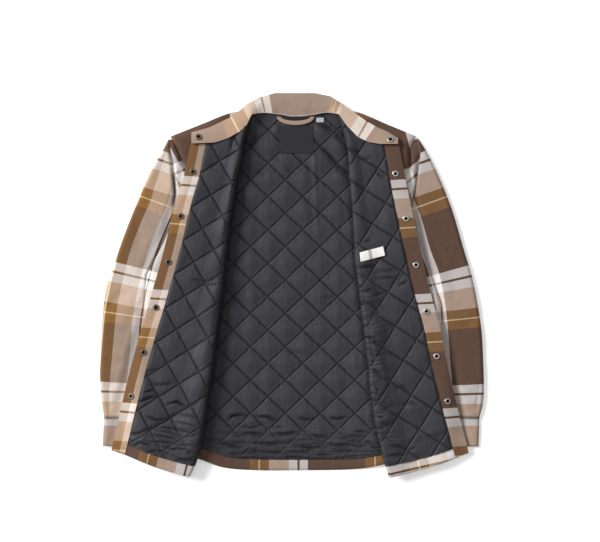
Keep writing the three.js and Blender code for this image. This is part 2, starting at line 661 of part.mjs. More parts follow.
/** The welt of the inner pocket, on the quilt of the turned-back front. */
function pocketWelt(shape) {
  const [innerTop, outerTop, outerLow, innerLow] = WELT_CORNERS.map(([x, y]) => new THREE.Vector2(x, y));
  const crest = FLANNEL + SEAM_GAP + LINING + QUILT_RISE + SEAM_GAP;
  const place = (i, j, level) => {
    const upper = innerTop.clone().lerp(outerTop, i / 4);
    const p = upper.lerp(innerLow.clone().lerp(outerLow, i / 4), j / 2);
    return new THREE.Vector3(p.x, p.y, shape.bed(p.x, p.y) + crest + level);
  };
  return closedShell(4, 2, (i, j) => place(i, j, WELT_THICK), (i, j) => place(i, j, 0));
}

/** One snap: a domed ring around the hollow of its socket. */
function snapGeometry() {
  const profile = SNAP_PROFILE.map(([radius, z]) => new THREE.Vector2(radius, z));
  const lathe = new THREE.LatheGeometry(profile, SNAP_SEGMENTS);
  lathe.rotateX(Math.PI / 2);
  lathe.deleteAttribute('normal');
  lathe.deleteAttribute('uv');
  return mergeVertices(lathe, 1e-4);
}

/** Adds a snap that lies on a surface, which is read around the snap's place. */
function addSnap(name, surface) {
  const centre = surface(0, 0);
  const [east, west, north, south] = [surface(1, 0), surface(-1, 0), surface(0, 1), surface(0, -1)];
  const rim = [east, west, north, south].map((p) => p.clone());
  const normal = east.sub(west).cross(north.sub(south)).normalize();
  if (normal.z < 0) normal.negate();
  const highest = Math.max(0, ...rim.map((p) => p.sub(centre).dot(normal)));
  const mesh = addPiece(name, snapGeometry(), SNAP_STEEL, 0.35, 0.9);
  mesh.position.copy(centre).addScaledVector(normal, SNAP_SEAT + highest);
  mesh.quaternion.setFromUnitVectors(new THREE.Vector3(0, 0, 1), normal);
}

/** The seven snaps of one side: one at the collar's end and six down the facing. */
function addSnaps(name, shape, collarStation) {
  const across = SNAP_PROFILE[2][0];
  addSnap(`snap_${name}_0`, (a, b) => (
    collarPoint(collarStation + a * 0.15, COLLAR_SNAP_SHARE + b * 0.25, COLLAR_THICK)
  ));
  shape.side.snaps.forEach(([x, y], k) => {
    addSnap(`snap_${name}_${k + 1}`, (a, b) => {
      const [px, py] = [x + a * across, y + b * across];
      return new THREE.Vector3(px, py, shape.bed(px, py) + FLANNEL + SEAM_GAP + FLANNEL);
    });
  });
}

const shapes = { right: sideShape(SIDES.right), left: sideShape(SIDES.left) };

/** Plan of the back between both side outlines, drawn in by an inset where it is lined. */
function backPlan(inset) {
  const right = moved(shapes.right.outline, (t) => [inset, -inset * (1 - ease(0, 0.2, t))]);
  const left = moved(shapes.left.outline, (t) => [-inset, -inset * (1 - ease(0, 0.2, t))]);
  const neck = curveThrough(BACK_NECK);
  const [tipR, tipL] = [right(0), left(0)];
  const neckStart = (neck(0).x - tipR.x) / (tipL.x - tipR.x);
  const neckEnd = (neck(1).x - tipR.x) / (tipL.x - tipR.x);
  const shoulderDrop = new THREE.Vector2(0, -inset);
  const slope = (tip, end, t) => tip.clone().lerp(end.clone().add(shoulderDrop), t);
  const top = (u) => {
    if (u < neckStart) return slope(tipR, neck(0), u / neckStart);
    if (u > neckEnd) return slope(tipL, neck(1), (1 - u) / (1 - neckEnd));
    const t = (u - neckStart) / (neckEnd - neckStart);
    const sunk = inset * (1 - ease(0, 0.15, t) * ease(0, 0.15, 1 - t));
    return neck(t).add(new THREE.Vector2(0, -sunk));
  };
  const hem = curveThrough(BACK_HEM);
  const bottom = moved(hem, (t) => [inset * (1 - 2 * t), 0]);
  return patch(top, bottom, right, left);
}

addPiece('back', backShell(backPlan(0)), FLANNEL_BROWN);
addPiece('back_lining', backLining(backPlan(LINING_INSET)), NYLON_CHARCOAL, 0.5);
for (const [name, shape] of Object.entries(shapes)) {
  addPiece(`front_${name}`, frontShell(shape), FLANNEL_BROWN);
  addPiece(`lining_${name}`, frontLining(shape), NYLON_CHARCOAL, 0.5);
  addPiece(`facing_${name}`, facing(shape), FLANNEL_TAN);
  addPiece(`sleeve_${name}`, sleeve(shape), FLANNEL_TAN);
  addPiece(`cuff_${name}`, cuff(shape), FLANNEL_TAN);
  addSnaps(name, shape, COLLAR_SNAP_STATIONS[name]);
}
addPiece('collar', collar(), FLANNEL_TAN);
addPiece('neck_tape', flatPiece(NECK_TAPE), NYLON_CHARCOAL);
addPiece('neck_label', flatPiece(NECK_LABEL), NYLON_CHARCOAL);
addPiece('size_tab', flatPiece(SIZE_TAB), LABEL_GREY);
addPiece('hanging_loop', hangingLoop(), FLANNEL_TAN);
addPiece('pocket_welt', pocketWelt(shapes.left), FLANNEL_CREAM);

export default garment;
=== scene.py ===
"""Dresses the open quilted shirt-jacket, which lies flat on its back with both fronts folded back.

The plan is worked out in millimetres, in the frame's own axes: +X to the wearer's left, +Y from the
hem to the collar, +Z up from the floor. Points become metres when a mesh is made.
"""
import logging
import math
from dataclasses import dataclass, field
from enum import Enum
from typing import Any, Callable, Sequence

import bpy
import numpy as np
from mathutils import Matrix, Vector


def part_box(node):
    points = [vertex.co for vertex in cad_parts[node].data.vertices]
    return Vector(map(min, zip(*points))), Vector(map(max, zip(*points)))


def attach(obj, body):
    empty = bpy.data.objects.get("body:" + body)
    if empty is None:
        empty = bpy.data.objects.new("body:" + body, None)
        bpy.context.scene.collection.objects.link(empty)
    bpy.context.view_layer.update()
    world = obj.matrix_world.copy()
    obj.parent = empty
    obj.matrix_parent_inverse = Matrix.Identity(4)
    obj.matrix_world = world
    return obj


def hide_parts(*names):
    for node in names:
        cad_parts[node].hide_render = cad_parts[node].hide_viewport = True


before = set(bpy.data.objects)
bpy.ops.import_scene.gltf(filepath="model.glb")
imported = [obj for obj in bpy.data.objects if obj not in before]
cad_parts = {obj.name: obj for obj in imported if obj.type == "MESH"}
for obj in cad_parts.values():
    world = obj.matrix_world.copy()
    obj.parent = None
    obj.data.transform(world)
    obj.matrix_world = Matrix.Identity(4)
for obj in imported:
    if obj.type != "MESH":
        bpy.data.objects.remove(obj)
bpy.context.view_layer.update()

LOG = logging.getLogger("jacket")

Points = Sequence[Sequence[float]]
Array = np.ndarray
PlanCurve = Callable[[Array], Array]
PlanPatch = Callable[[Array, Array], Array]

MM = 0.001
CLOTH_MAP = "cloth"
# Name of the mark by which painted shade darkens the cloth in creases, folds and seams
PAINTED_SHADE = "hollow"
GATHER = "gather"

# Cloth, as in the solids
FLANNEL = 1.6
LINING = 2.0
QUILT_RISE = 2.4
SEAM_GAP = 0.3
LYING_GAP = 0.5
DIAMOND_WIDE = 73.0
DIAMOND_TALL = 70.0
SLEEVE_THICK = 6.8
CUFF_THICK = 7.0

# How the sides of the body rise where the sleeves are tucked under them
TUCK_RISE = 7.5
TUCK_START = 95.0
TUCK_FULL = 215.0
TUCK_TOP = 400.0
TUCK_TOP_FULL = 200.0

# The fold of each front, and its seams
FOLD_SPACE = 3.4
FLAT_SPACE = 1.0
FOLD_EASE = 55.0
FOLD_REACH = 7.0
DROP_WIDTH = 56.0
SEAM_ROUND = 16.0
LINING_INSET = 19.0
CORNER_INSET = 12.0
FACING_WIDTH = 30.0
HEM_SHARE = 0.969
ARMHOLE_SHARE = 7 / 16
ARMHOLE_GAP = 1.2

# Levels above the underside
BACK_LINING_BOTTOM = FLANNEL + SEAM_GAP
LOWER_LINING_BOTTOM = 7.5
LOWER_SHELL_BOTTOM = LOWER_LINING_BOTTOM + LINING + SEAM_GAP
LOWER_SHELL_TOP = LOWER_SHELL_BOTTOM + FLANNEL
ROLL_RADIUS = (FOLD_SPACE + FLANNEL) / 2
ROLL_CENTRE = LOWER_SHELL_TOP - FLANNEL / 2 + ROLL_RADIUS

# How much fuller the padding stands where nothing lies on it
FULLER = 2.3

# Share of the turned-back layer over which a fold's fullness fades
PUFF_REACH = 0.45

# Thickness of the sheets, a little under the solids'
FLANNEL_SHEET = FLANNEL - 0.1
LINING_SHEET = LINING - 0.2

# Added to the quilting's phase: whole diamonds keep it above zero, and half a one centres the seams
AHEAD = 40.5

# How far the cuffs' seams lie from the frame's origin, towards the hem
CUFF_SEAM = 279.0


def ease(start: float, end: float, value: Array | float) -> Array:
    """Returns a smooth step from 0 at start to 1 at end."""
    share = np.clip((np.asarray(value, float) - start) / (end - start), 0, 1)
    return share * share * (3 - 2 * share)


def mix(low: Array | float, high: Array | float, share: Array | float) -> Array:
    """Returns the value that lies the given share of the way from low to high."""
    return low + (high - low) * share


def curve_through(points: Points) -> PlanCurve:
    """Makes a smooth curve through plan points.

    Args:
        points: X and Y of each point, in millimetres.

    Returns:
        A function from shares of the curve's length to plan points.
    """
    knots = np.array(points, float)
    guarded = np.vstack([knots[:1], knots, knots[-1:]])
    spans = len(knots) - 1

    def at(place: Array) -> Array:
        """Returns the spline at shares of its spans."""
        span = np.minimum((place * spans).astype(int), spans - 1)
        w = (place * spans - span)[..., None]
        before, start, end, after = (guarded[span + k] for k in range(4))
        leave, arrive = (end - before) / 2, (after - start) / 2
        cubic = (2 * start - 2 * end + leave + arrive) * w**3
        return cubic + (3 * end - 3 * start - 2 * leave - arrive) * w**2 + leave * w + start

    places = np.linspace(0, 1, 301)
    steps = np.linalg.norm(np.diff(at(places), axis=0), axis=1)
    lengths = np.concatenate([[0], np.cumsum(steps)])
    return lambda share: at(np.interp(np.clip(share, 0, 1) * lengths[-1], lengths, places))


def joined(first: PlanCurve, second: PlanCurve, share: float) -> PlanCurve:
    """Returns both curves as one, the first of them up to the share given.

    Args:
        first: Curve for the start.
        second: Curve for the rest.
        share: Share of the whole where the second takes over.

    Returns:
        The joined curve.
    """

    def at(t: Array) -> Array:
        """Returns plan points at shares of the length."""
        t = np.asarray(t, float)
        return np.where((t < share)[..., None], first(t / share), second((t - share) / (1 - share)))

    return at


def moved(curve: PlanCurve, shift: Callable[[Array], tuple[Any, Any]]) -> PlanCurve:
    """Returns the curve with each point moved by a plan vector that may change along it.

    Args:
        curve: Plan curve.
        shift: Gives the plan vector for shares of its length.

    Returns:
        The moved curve.
    """

    def at(t: Array) -> Array:
        """Returns plan points at shares of the length."""
        dx, dy = shift(np.asarray(t, float))
        return curve(t) + np.stack(np.broadcast_arrays(dx + 0 * t, dy + 0 * t), axis=-1)

    return at


def patch(top: PlanCurve, bottom: PlanCurve, start: PlanCurve, end: PlanCurve) -> PlanPatch:
    """Makes a plan patch between four curves: u from start to end, v from top to bottom.

    Args:
        top: Curve at v of 0.
        bottom: Curve at v of 1.
        start: Curve at u of 0.
        end: Curve at u of 1.

    Returns:
        The plan patch.
    """
    zero, one = np.zeros(1), np.ones(1)
    corners = [start(zero), end(zero), start(one), end(one)]

    def at(u: Array, v: Array) -> Array:
        """Returns plan points from both shares."""
        uu, vv = u[..., None], v[..., None]
        sides = start(v) * (1 - uu) + end(v) * uu
        ends = top(u) * (1 - vv) + bottom(u) * vv
        weights = [(1 - uu) * (1 - vv), uu * (1 - vv), (1 - uu) * vv, uu * vv]
        return sides + ends - sum(w * c for w, c in zip(weights, corners))

    return at


def across_at(curve: PlanCurve) -> Callable[[Array], Array]:
    """Returns the x of a curve that falls steadily, as a function of y."""
    points = curve(np.linspace(0, 1, 121))[::-1]
    return lambda y: np.interp(y, points[:, 1], points[:, 0])


def floor_rise(x: Array, y: Array) -> Array:
    """Returns the height of the garment's underside, raised where a sleeve lies beneath."""
    return TUCK_RISE * ease(TUCK_START, TUCK_FULL, np.abs(x)) * (1 - ease(TUCK_TOP_FULL, TUCK_TOP, y))


def turned_by(degrees: float, delta: Array) -> Array:
    """Returns plan vectors in axes that are turned anticlockwise by an angle."""
    c, s = math.cos(math.radians(degrees)), math.sin(math.radians(degrees))
    return np.stack([delta[..., 0] * c + delta[..., 1] * s, delta[..., 1] * c - delta[..., 0] * s], -1)


def pillow(x: Array, y: Array) -> Array:
    """Returns the height of the quilting, 0 on its stitch lines and 1 in a diamond."""
    a = np.abs(np.sin(np.pi * (x / DIAMOND_WIDE + y / DIAMOND_TALL)))
    b = np.abs(np.sin(np.pi * (x / DIAMOND_WIDE - y / DIAMOND_TALL)))
    return (a * b) ** 0.55


def tent(x: Array, y: Array) -> Array:
    """Returns the height of quilting that is pulled to a ridge down the middle of each diamond.

    Args:
        x: Places across, in millimetres.
        y: Places along, in millimetres.

    Returns:
        The height at each place.
    """
    rising = x / DIAMOND_WIDE + y / DIAMOND_TALL
    falling = x / DIAMOND_WIDE - y / DIAMOND_TALL
    gaps = [np.abs((lean + AHEAD) % 1 - 0.5) for lean in (rising, falling)]
    return 0.5 * pillow(x, y) + np.minimum(*gaps)


def ripples(x: Array, y: Array, waves: Sequence[tuple[float, float, float]]) -> Array:
    """Returns a gentle unevenness as a mean of waves, each given by length, lean and start.

    Args:
        x: Places across, in millimetres.
        y: Places along, in millimetres.
        waves: Length, lean and start of each wave.

    Returns:
        The unevenness at each place.
    """
    total = np.zeros_like(x)
    for length, lean, start in waves:
        c, s = math.cos(math.radians(lean)), math.sin(math.radians(lean))
        total += np.sin(2 * np.pi * (x * c + y * s) / length + start)
    return total / len(waves)


@dataclass(frozen=True)
class Crease:
    """A soft trough or ridge along a line in plan.

    Attributes:
        line: X and Y of its points, in millimetres.
        width: Half its width, where it has fallen to about a third.
        depth: How deep it is, below zero for a ridge.
    """

    line: Points
    width: float
    depth: float

    def height(self, x: Array, y: Array) -> Array:
        """Returns how much the crease adds to the height at plan points.

        Args:
            x: Places across, in millimetres.
            y: Places along, in millimetres.

        Returns:
            What is added at each place.
        """
        knots = np.array(self.line, float)
        lengths = np.linalg.norm(np.diff(knots, axis=0), axis=1)
        starts = np.concatenate([[0], np.cumsum(lengths)])
        nearest = np.full(x.shape, np.inf)
        along = np.zeros(x.shape)
        for start, end, length, offset in zip(knots[:-1], knots[1:], lengths, starts):
            direction = (end - start) / length
            run = np.clip((x - start[0]) * direction[0] + (y - start[1]) * direction[1], 0, length)
            gap = np.hypot(x - start[0] - run * direction[0], y - start[1] - run * direction[1])
            closer = gap < nearest
            nearest = np.where(closer, gap, nearest)
            along = np.where(closer, offset + run, along)
        share = along / starts[-1]
        fade = np.sqrt(np.clip(np.sin(np.pi * np.clip(share * 0.96 + 0.02, 0, 1)), 0, 1))
        return -self.depth * fade * np.exp(-((nearest / self.width) ** 2))


def creases(*rows: tuple[Points, float, float]) -> tuple[Crease, ...]:
    """Returns creases from rows of a line, half a width and a depth."""
    return tuple(Crease(*row) for row in rows)


def creased(x: Array, y: Array, lines: Sequence[Crease]) -> Array:
    """Returns what a list of creases adds to the height at plan points."""
    return sum((crease.height(x, y) for crease in lines), np.zeros_like(x))


# Shader maths


class Value:
    """A number in a material, with operators that add Math nodes."""

    def __init__(self, shader: "Shader", socket: Any) -> None:
        """Keeps the value's socket and the shader it belongs to."""
        self.shader = shader
        self.socket = socket

    def _with(self, operation: str, *others: Any) -> "Value":
        """Returns a Math node's result on this value and others."""
        return self.shader.maths(operation, self, *others)

    def __add__(self, other: Any) -> "Value":
        """Adds."""
        return self._with("ADD", other)

    __radd__ = __add__

    def __sub__(self, other: Any) -> "Value":
        """Subtracts."""
        return self._with("SUBTRACT", other)

    def __rsub__(self, other: Any) -> "Value":
        """Subtracts the value from a number."""
        return self.shader.maths("SUBTRACT", other, self)

    def __mul__(self, other: Any) -> "Value":
        """Multiplies."""
        return self._with("MULTIPLY", other)

    __rmul__ = __mul__

    def __truediv__(self, other: Any) -> "Value":
        """Divides."""
        return self._with("DIVIDE", other)

    def __abs__(self) -> "Value":
        """Returns the value without its sign."""
        return self._with("ABSOLUTE")

    def sine(self) -> "Value":
        """Returns the sine of the value."""
        return self._with("SINE")

    def fraction(self) -> "Value":
        """Returns the part of the value after its whole number."""
        return self._with("FRACT")

    def smooth(self, start: float, end: float) -> "Value":
        """Returns a smooth step of the value from 0 at start to 1 at end.

        Args:
            start: Where the step starts.
            end: Where it ends.

        Returns:
            The smooth step.
        """
        return self.shader.node(
            "ShaderNodeMapRange",
            {"interpolation_type": "SMOOTHSTEP"},
            {"Value": self, "From Min": start, "From Max": end},
        )


class Shader:
    """A material under construction, whose nodes all come from one method."""

    def __init__(self, name: str) -> None:
        """Starts a material with nodes.

        Args:
            name: Name of the material.
        """
        self.material = bpy.data.materials.new(name)
        self.material.use_nodes = True
        self.tree = self.material.node_tree
        self.surface = self.tree.nodes["Principled BSDF"]

    def node(self, kind: str, settings: dict[str, Any], sockets: dict[Any, Any], output: Any = 0) -> Value:
        """Adds a node.

        Args:
            kind: The node's type.
            settings: Properties that are set first, with ramp as a ramp's stops.
            sockets: Values or links by the input's name or number.
            output: The output that is read.

        Returns:
            The output, as a value.
        """
        made = self.tree.nodes.new(kind)
        for key, setting in settings.items():
            if key == "ramp":
                self._fill_ramp(made.color_ramp, setting)
            else:
                setattr(made, key, setting)
        for key, given in sockets.items():
            self.put(made.inputs[key], given)
        return Value(self, made.outputs[output])

    @staticmethod
    def _fill_ramp(ramp: Any, stops: Sequence[tuple[float, Sequence[float]]]) -> None:
        """Sets a ramp's stops, each a place and a colour.

        Args:
            ramp: Colour ramp of a node.
            stops: Place and colour of each stop.
        """
        while len(ramp.elements) > 1:
            ramp.elements.remove(ramp.elements[-1])
        ramp.elements[0].position, ramp.elements[0].color = stops[0]
        for place, colour in stops[1:]:
            ramp.elements.new(place).color = colour

    def put(self, socket: Any, given: Any) -> None:
        """Links a value to a socket, or sets the socket to a constant.

        Args:
            socket: Socket to set.
            given: Value or constant.
        """
        if isinstance(given, Value):
            self.tree.links.new(given.socket, socket)
        else:
            socket.default_value = given

    def maths(self, operation: str, *given: Any) -> Value:
        """Returns the result of a Math node."""
        return self.node("ShaderNodeMath", {"operation": operation}, dict(enumerate(given)))

    def blend(self, share: Any, low: Any, high: Any, way: str = "MIX") -> Value:
        """Returns a mix of two colours."""
        settings = {"data_type": "RGBA", "blend_type": way}
        return self.node("ShaderNodeMix", settings, {0: share, 6: low, 7: high}, output=2)

    def cloth_point(self) -> tuple[Value, Value, Value]:
        """Returns the cloth's own coordinates: the vector, then across and along, in metres."""
        vector = self.node("ShaderNodeUVMap", {"uv_map": CLOTH_MAP}, {})
        across = self.node("ShaderNodeSeparateXYZ", {}, {0: vector}, output=0)
        along = Value(self, across.socket.node.outputs[1])
        return vector, across, along

    def mark(self, name: str) -> Value:
        """Returns a mark of the cloth from 0 to 1: how much painted shade darkens it, or how gathered it is."""
        return self.node("ShaderNodeAttribute", {"attribute_name": name}, {}, output="Fac")

    def noise(self, vector: Value, scale: float, detail: float = 2.0, stretch: Sequence[float] = (1, 1, 1)) -> Value:
        """Returns a noise from 0 to 1 over a vector that may be stretched."""
        if tuple(stretch) != (1, 1, 1):
            vector = self.node("ShaderNodeVectorMath", {"operation": "MULTIPLY"}, {0: vector, 1: tuple(stretch)})
        return self.node("ShaderNodeTexNoise", {}, {"Vector": vector, "Scale": scale, "Detail": detail})

    def bump(self, height: Value, depth: float, strength: float = 1.0, normal: Value | None = None) -> Value:
        """Returns a normal that is bent by a height, whose depth is in metres.

        Args:
            height: Height that bends the normal.
            depth: Depth of the height, in metres.
            strength: Strength of the bending.
            normal: Normal to bend, or none for the surface itself.

        Returns:
            The bent normal.
        """
        sockets: dict[Any, Any] = {"Height": height, "Distance": depth, "Strength": strength}
        if normal is not None:
            sockets["Normal"] = normal
        return self.node("ShaderNodeBump", {}, sockets)

    def finish(self, **sockets: Any) -> bpy.types.Material:
        """Sets the surface's sockets by name, with spaces as underscores, and returns the material."""
        for name, given in sockets.items():
            self.put(self.surface.inputs[name.replace("_", " ")], given)
        return self.material


def colour(red: int, green: int, blue: int) -> tuple[float, float, float, float]:
    """Returns a screen colour as the linear colour that a shader takes.

    Args:
        red: Red level, from 0 to 255.
        green: Green level, from 0 to 255.
        blue: Blue level, from 0 to 255.

    Returns:
        The linear colour, with its alpha.
    """

    def linear(level: int) -> float:
        """Returns the linear level of a level on the screen."""
        share = level / 255
        return share / 12.92 if share <= 0.04045 else ((share + 0.055) / 1.055) ** 2.4

    return linear(red), linear(green), linear(blue), 1.0


# Finishes


class Yarn(Enum):
    """Colours of the yarns of the plaid, on the screen."""

    BROWN = (92, 70, 59)
    GOLD = (141, 101, 56)
    CREAM = (232, 208, 168)
    BEIGE = (208, 183, 164)
    WHITE = (240, 236, 234)
    LINE = (96, 70, 46)


@dataclass(frozen=True)
class Sett:
    """The order of the yarns, each with its width in millimetres."""

    bands: tuple[tuple[Yarn, float], ...] = (
        (Yarn.BROWN, 120.0),
        (Yarn.GOLD, 19.0),
        (Yarn.CREAM, 3.0),
        (Yarn.GOLD, 19.0),
        (Yarn.BEIGE, 42.0),
        (Yarn.WHITE, 18.0),
        (Yarn.LINE, 4.0),
        (Yarn.WHITE, 18.0),
    )

    @property
    def repeat(self) -> float:
        """The width of one repeat, in millimetres."""
        return sum(width for _, width in self.bands)

    def stops(self) -> list[tuple[float, tuple[float, float, float, float]]]:
        """Returns the bands as a ramp's stops."""
        made, start = [], 0.0
        for yarn, width in self.bands:
            made.append((start / self.repeat, colour(*yarn.value)))
            start += width
        return made


REPEAT = Sett().repeat
# Places in the sett, in millimetres: where brown ends, and the middle of the dark line
BROWN_END = 120.0
DARK_LINE = 223.0


@dataclass(frozen=True)
class PlaidFlannel:
    """Brushed plaid twill, darkened with painted shade where it is marked so.

    Attributes:
        name: The material's name.
        twill: Width of one twill line, in metres.
        nap: Depth of the brushed surface, in metres.
        shade: A factor on the colour, for cloth that has another dye lot or side.
    """

    name: str
    twill: float = 0.0016
    nap: float = 0.0006
    shade: float = 1.0

    def make(self) -> bpy.types.Material:
        """Returns the material.

        Returns:
            The material.
        """
        shader = Shader(self.name)
        vector, across, along = shader.cloth_point()
        repeat = REPEAT * MM
        fuzz = (shader.noise(vector, 900, 1.0) - 0.5) * 0.0016
        ramp = {"ramp": Sett().stops()}
        warp = shader.node("ShaderNodeValToRGB", ramp, {0: ((across + fuzz) / repeat + 40).fraction()})
        weft = shader.node("ShaderNodeValToRGB", ramp, {0: ((along + fuzz) / repeat + 40).fraction()})
        for made in (warp, weft):
            made.socket.node.color_ramp.interpolation = "CONSTANT"
        lines = ((across + along) * (2 * math.pi / self.twill)).sine()
        share = lines * 0.18 + 0.5
        yarns = shader.blend(share, warp, weft)
        patches = shader.noise(vector, 55, 3.0)
        fibres = shader.noise(vector, 1500, 2.0)
        tone = (patches - 0.5) * 0.22 + (fibres - 0.5) * 0.5 + self.shade
        # Painted shade: the colour darkens where the cloth is marked as lying in creases, gaps and seams
        tone = tone * (1 - shader.mark(PAINTED_SHADE) * 0.88)
        toned = shader.blend(1.0, yarns, self._grey(shader, tone), "MULTIPLY")
        height = lines * 0.25 + shader.noise(vector, 2200, 2.0) * 0.6
        fine = shader.bump(height, self.nap, 0.6)
        soft = shader.bump(shader.noise(vector, 38, 3.0), 0.005, 0.35, fine)
        return shader.finish(
            Base_Color=toned, Roughness=0.92, Normal=soft, Sheen_Weight=0.04, Sheen_Roughness=0.5,
            Specular_IOR_Level=0.15,
        )

    @staticmethod
    def _grey(shader: Shader, level: Value) -> Value:
        """Returns a level as a grey colour."""
        return shader.node("ShaderNodeCombineColor", {}, {0: level, 1: level, 2: level})


@dataclass(frozen=True)
class QuiltedNylon:
    """Charcoal nylon over padding, sewn in crossed lines and gathered where it is marked so, with painted shade in
    its stitch lines, in the troughs of its gathers and where it is marked.

    Attributes:
        name: The material's name.
        dark: Colour on the screen.
        groove: Half the width of the drawn-in cloth at a stitch line, in diamonds.
        groove_depth: How deep the stitch lines are drawn in, in metres.
        pucker_depth: How deep the loose wrinkles are, in metres.
    """

    name: str
    dark: tuple[int, int, int] = (46, 46, 52)
    groove: float = 0.06
    groove_depth: float = 0.0016
    pucker_depth: float = 0.0011

    def make(self) -> bpy.types.Material:
        """Returns the material.

        Returns:
            The material.
        """
        shader = Shader(self.name)
        vector, across, along = shader.cloth_point()
        wander = (shader.noise(vector, 26, 3.0) - 0.5) * 0.0052
        rising = (across + wander) / (DIAMOND_WIDE * MM) + along / (DIAMOND_TALL * MM)
        falling = (across - wander) / (DIAMOND_WIDE * MM) - along / (DIAMOND_TALL * MM)
        gaps = [abs((lean + AHEAD).fraction() - 0.5) for lean in (rising, falling)]
        nearest = shader.maths("MINIMUM", *gaps)
        seam = 1 - nearest.smooth(0.0, self.groove)
        near_seam = 1 - nearest.smooth(0.02, 0.24)
        gathered = shader.mark(GATHER)
        puckers = shader.noise(vector, 40, 3.0, (2.4, 0.6, 1))
        drawn = shader.noise(vector, 130, 2.0) * near_seam
        pulls = shader.noise(vector, 52, 3.0, (0.42, 2.4, 1))
        gathers = pulls * gathered
        weave = shader.noise(vector, 2600, 1.0)
        height = puckers * self.pucker_depth + drawn * (self.pucker_depth * 1.3)
        seam = seam * (1 - gathered * 0.7)
        height = height + gathers * (self.pucker_depth * 4.2) - seam * self.groove_depth
        bent = shader.bump(height, 1.0)
        woven = shader.bump(weave, 0.0002, 0.3, bent)
        base = colour(*self.dark)
        # Painted shade: the colour falls towards a tenth of the charcoal along the stitch lines, in the troughs of
        # the gathers and where the cloth is marked
        deep = tuple(level * 0.1 for level in base[:3]) + (1.0,)
        low = (1 - pulls.smooth(0.38, 0.54)) * gathered * 0.85
        painted_shade_share = shader.maths("MAXIMUM", shader.maths("MAXIMUM", seam * 0.55, low), shader.mark(PAINTED_SHADE))
        tone = shader.blend(painted_shade_share, base, deep)
        return shader.finish(
            Base_Color=tone, Roughness=0.72 - puckers * 0.2, Normal=woven, Specular_IOR_Level=0.34,
            Sheen_Weight=0.04, Sheen_Roughness=0.4,
        )


@dataclass(frozen=True)
class PlainWeave:
    """A plain or ribbed tape, label or strap.

    Attributes:
        name: The material's name.
        tint: Colour on the screen.
        rib: Distance between ribs along the cloth, in metres.
        rough: Roughness.
    """

    name: str
    tint: tuple[int, int, int]
    rib: float = 0.0012
    rough: float = 0.8

    def make(self) -> bpy.types.Material:
        """Returns the material.

        Returns:
            The material.
        """
        shader = Shader(self.name)
        vector, across, along = shader.cloth_point()
        ribs = (along * (2 * math.pi / self.rib)).sine() * 0.5 + 0.5
        cross = (across * (2 * math.pi / self.rib)).sine() * 0.5 + 0.5
        speckle = shader.noise(vector, 900, 2.0)
        light = tuple(min(1.0, c * 1.25) for c in colour(*self.tint)[:3]) + (1.0,)
        dark = tuple(c * 0.72 for c in colour(*self.tint)[:3]) + (1.0,)
        tone = shader.blend(ribs * 0.35 + cross * 0.2 + speckle * 0.4, dark, light)
        height = ribs * 0.5 + cross * 0.3 + speckle * 0.3
        return shader.finish(
            Base_Color=tone, Roughness=self.rough, Normal=shader.bump(height, 0.0004, 0.6),
            Specular_IOR_Level=0.3,
        )


@dataclass(frozen=True)
class BrushedMetal:
    """The snaps' metal.

    Attributes:
        name: The material's name.
        tint: Colour on the screen.
        rough: Mean roughness.
    """

    name: str
    tint: tuple[int, int, int]
    rough: float

    def make(self) -> bpy.types.Material:
        """Returns the material.

        Returns:
            The material.
        """
        shader = Shader(self.name)
        place = shader.node("ShaderNodeTexCoord", {}, {}, output="Object")
        scratches = shader.noise(place, 900, 3.0, (1, 5, 1))
        tarnish = shader.noise(place, 160, 2.0)
        base = colour(*self.tint)
        worn = tuple(c * 0.6 for c in base[:3]) + (1.0,)
        return shader.finish(
            Base_Color=shader.blend(tarnish, worn, base), Metallic=1.0,
            Roughness=scratches * 0.2 + self.rough, Normal=shader.bump(scratches, 0.0001, 0.3),
        )


@dataclass(frozen=True)
class FloorPaint:
    """The pale floor.

    Attributes:
        name: The material's name.
        tint: Linear grey level.
    """

    name: str = "pale_floor"
    tint: float = 0.93

    def make(self) -> bpy.types.Material:
        """Returns the material.

        Returns:
            The material.
        """
        shader = Shader(self.name)
        place = shader.node("ShaderNodeTexCoord", {}, {}, output="Object")
        grain = shader.noise(place, 6, 2.0)
        low = (self.tint * 0.985,) * 3 + (1.0,)
        return shader.finish(
            Base_Color=shader.blend(grain, low, (self.tint,) * 3 + (1.0,)), Roughness=0.95,
            Specular_IOR_Level=0.1, Emission_Color=(1.0, 1.0, 1.0, 1.0), Emission_Strength=0.3,
        )


# Meshes


def deselect_all() -> None:
    """Leaves nothing selected, CAD nodes included."""
    if bpy.context.object and bpy.context.object.mode != "OBJECT":
        bpy.ops.object.mode_set(mode="OBJECT")
    bpy.ops.object.select_all(action="DESELECT")


def make_active(piece: bpy.types.Object) -> None:
    """Selects one object and makes it the active one."""
    deselect_all()
    piece.select_set(True)
    bpy.context.view_layer.objects.active = piece


def apply_modifier(piece: bpy.types.Object, kind: str, **settings: Any) -> None:
    """Adds a modifier with its settings and applies it.

    Args:
        piece: Piece to change.
        kind: Kind of modifier.
        settings: Its settings.
    """
    make_active(piece)
    bpy.ops.object.modifier_add(type=kind)
    modifier = piece.modifiers[-1]
    for name, setting in settings.items():
        setattr(modifier, name, setting)
    bpy.ops.object.modifier_apply(modifier=modifier.name)


def shade(piece: bpy.types.Object, degrees: float = 50) -> None:
    """Shades a piece smooth up to an angle."""
    make_active(piece)
    bpy.ops.object.shade_smooth_by_angle(angle=math.radians(degrees))


def recalculate(piece: bpy.types.Object) -> None:
    """Merges a piece's doubles and points its faces outwards.

    Args:
        piece: Piece to change.
    """
    make_active(piece)
    bpy.ops.object.mode_set(mode="EDIT")
    bpy.ops.mesh.select_all(action="SELECT")
    bpy.ops.mesh.remove_doubles(threshold=1e-6)
    bpy.ops.mesh.normals_make_consistent(inside=False)
    bpy.ops.object.mode_set(mode="OBJECT")


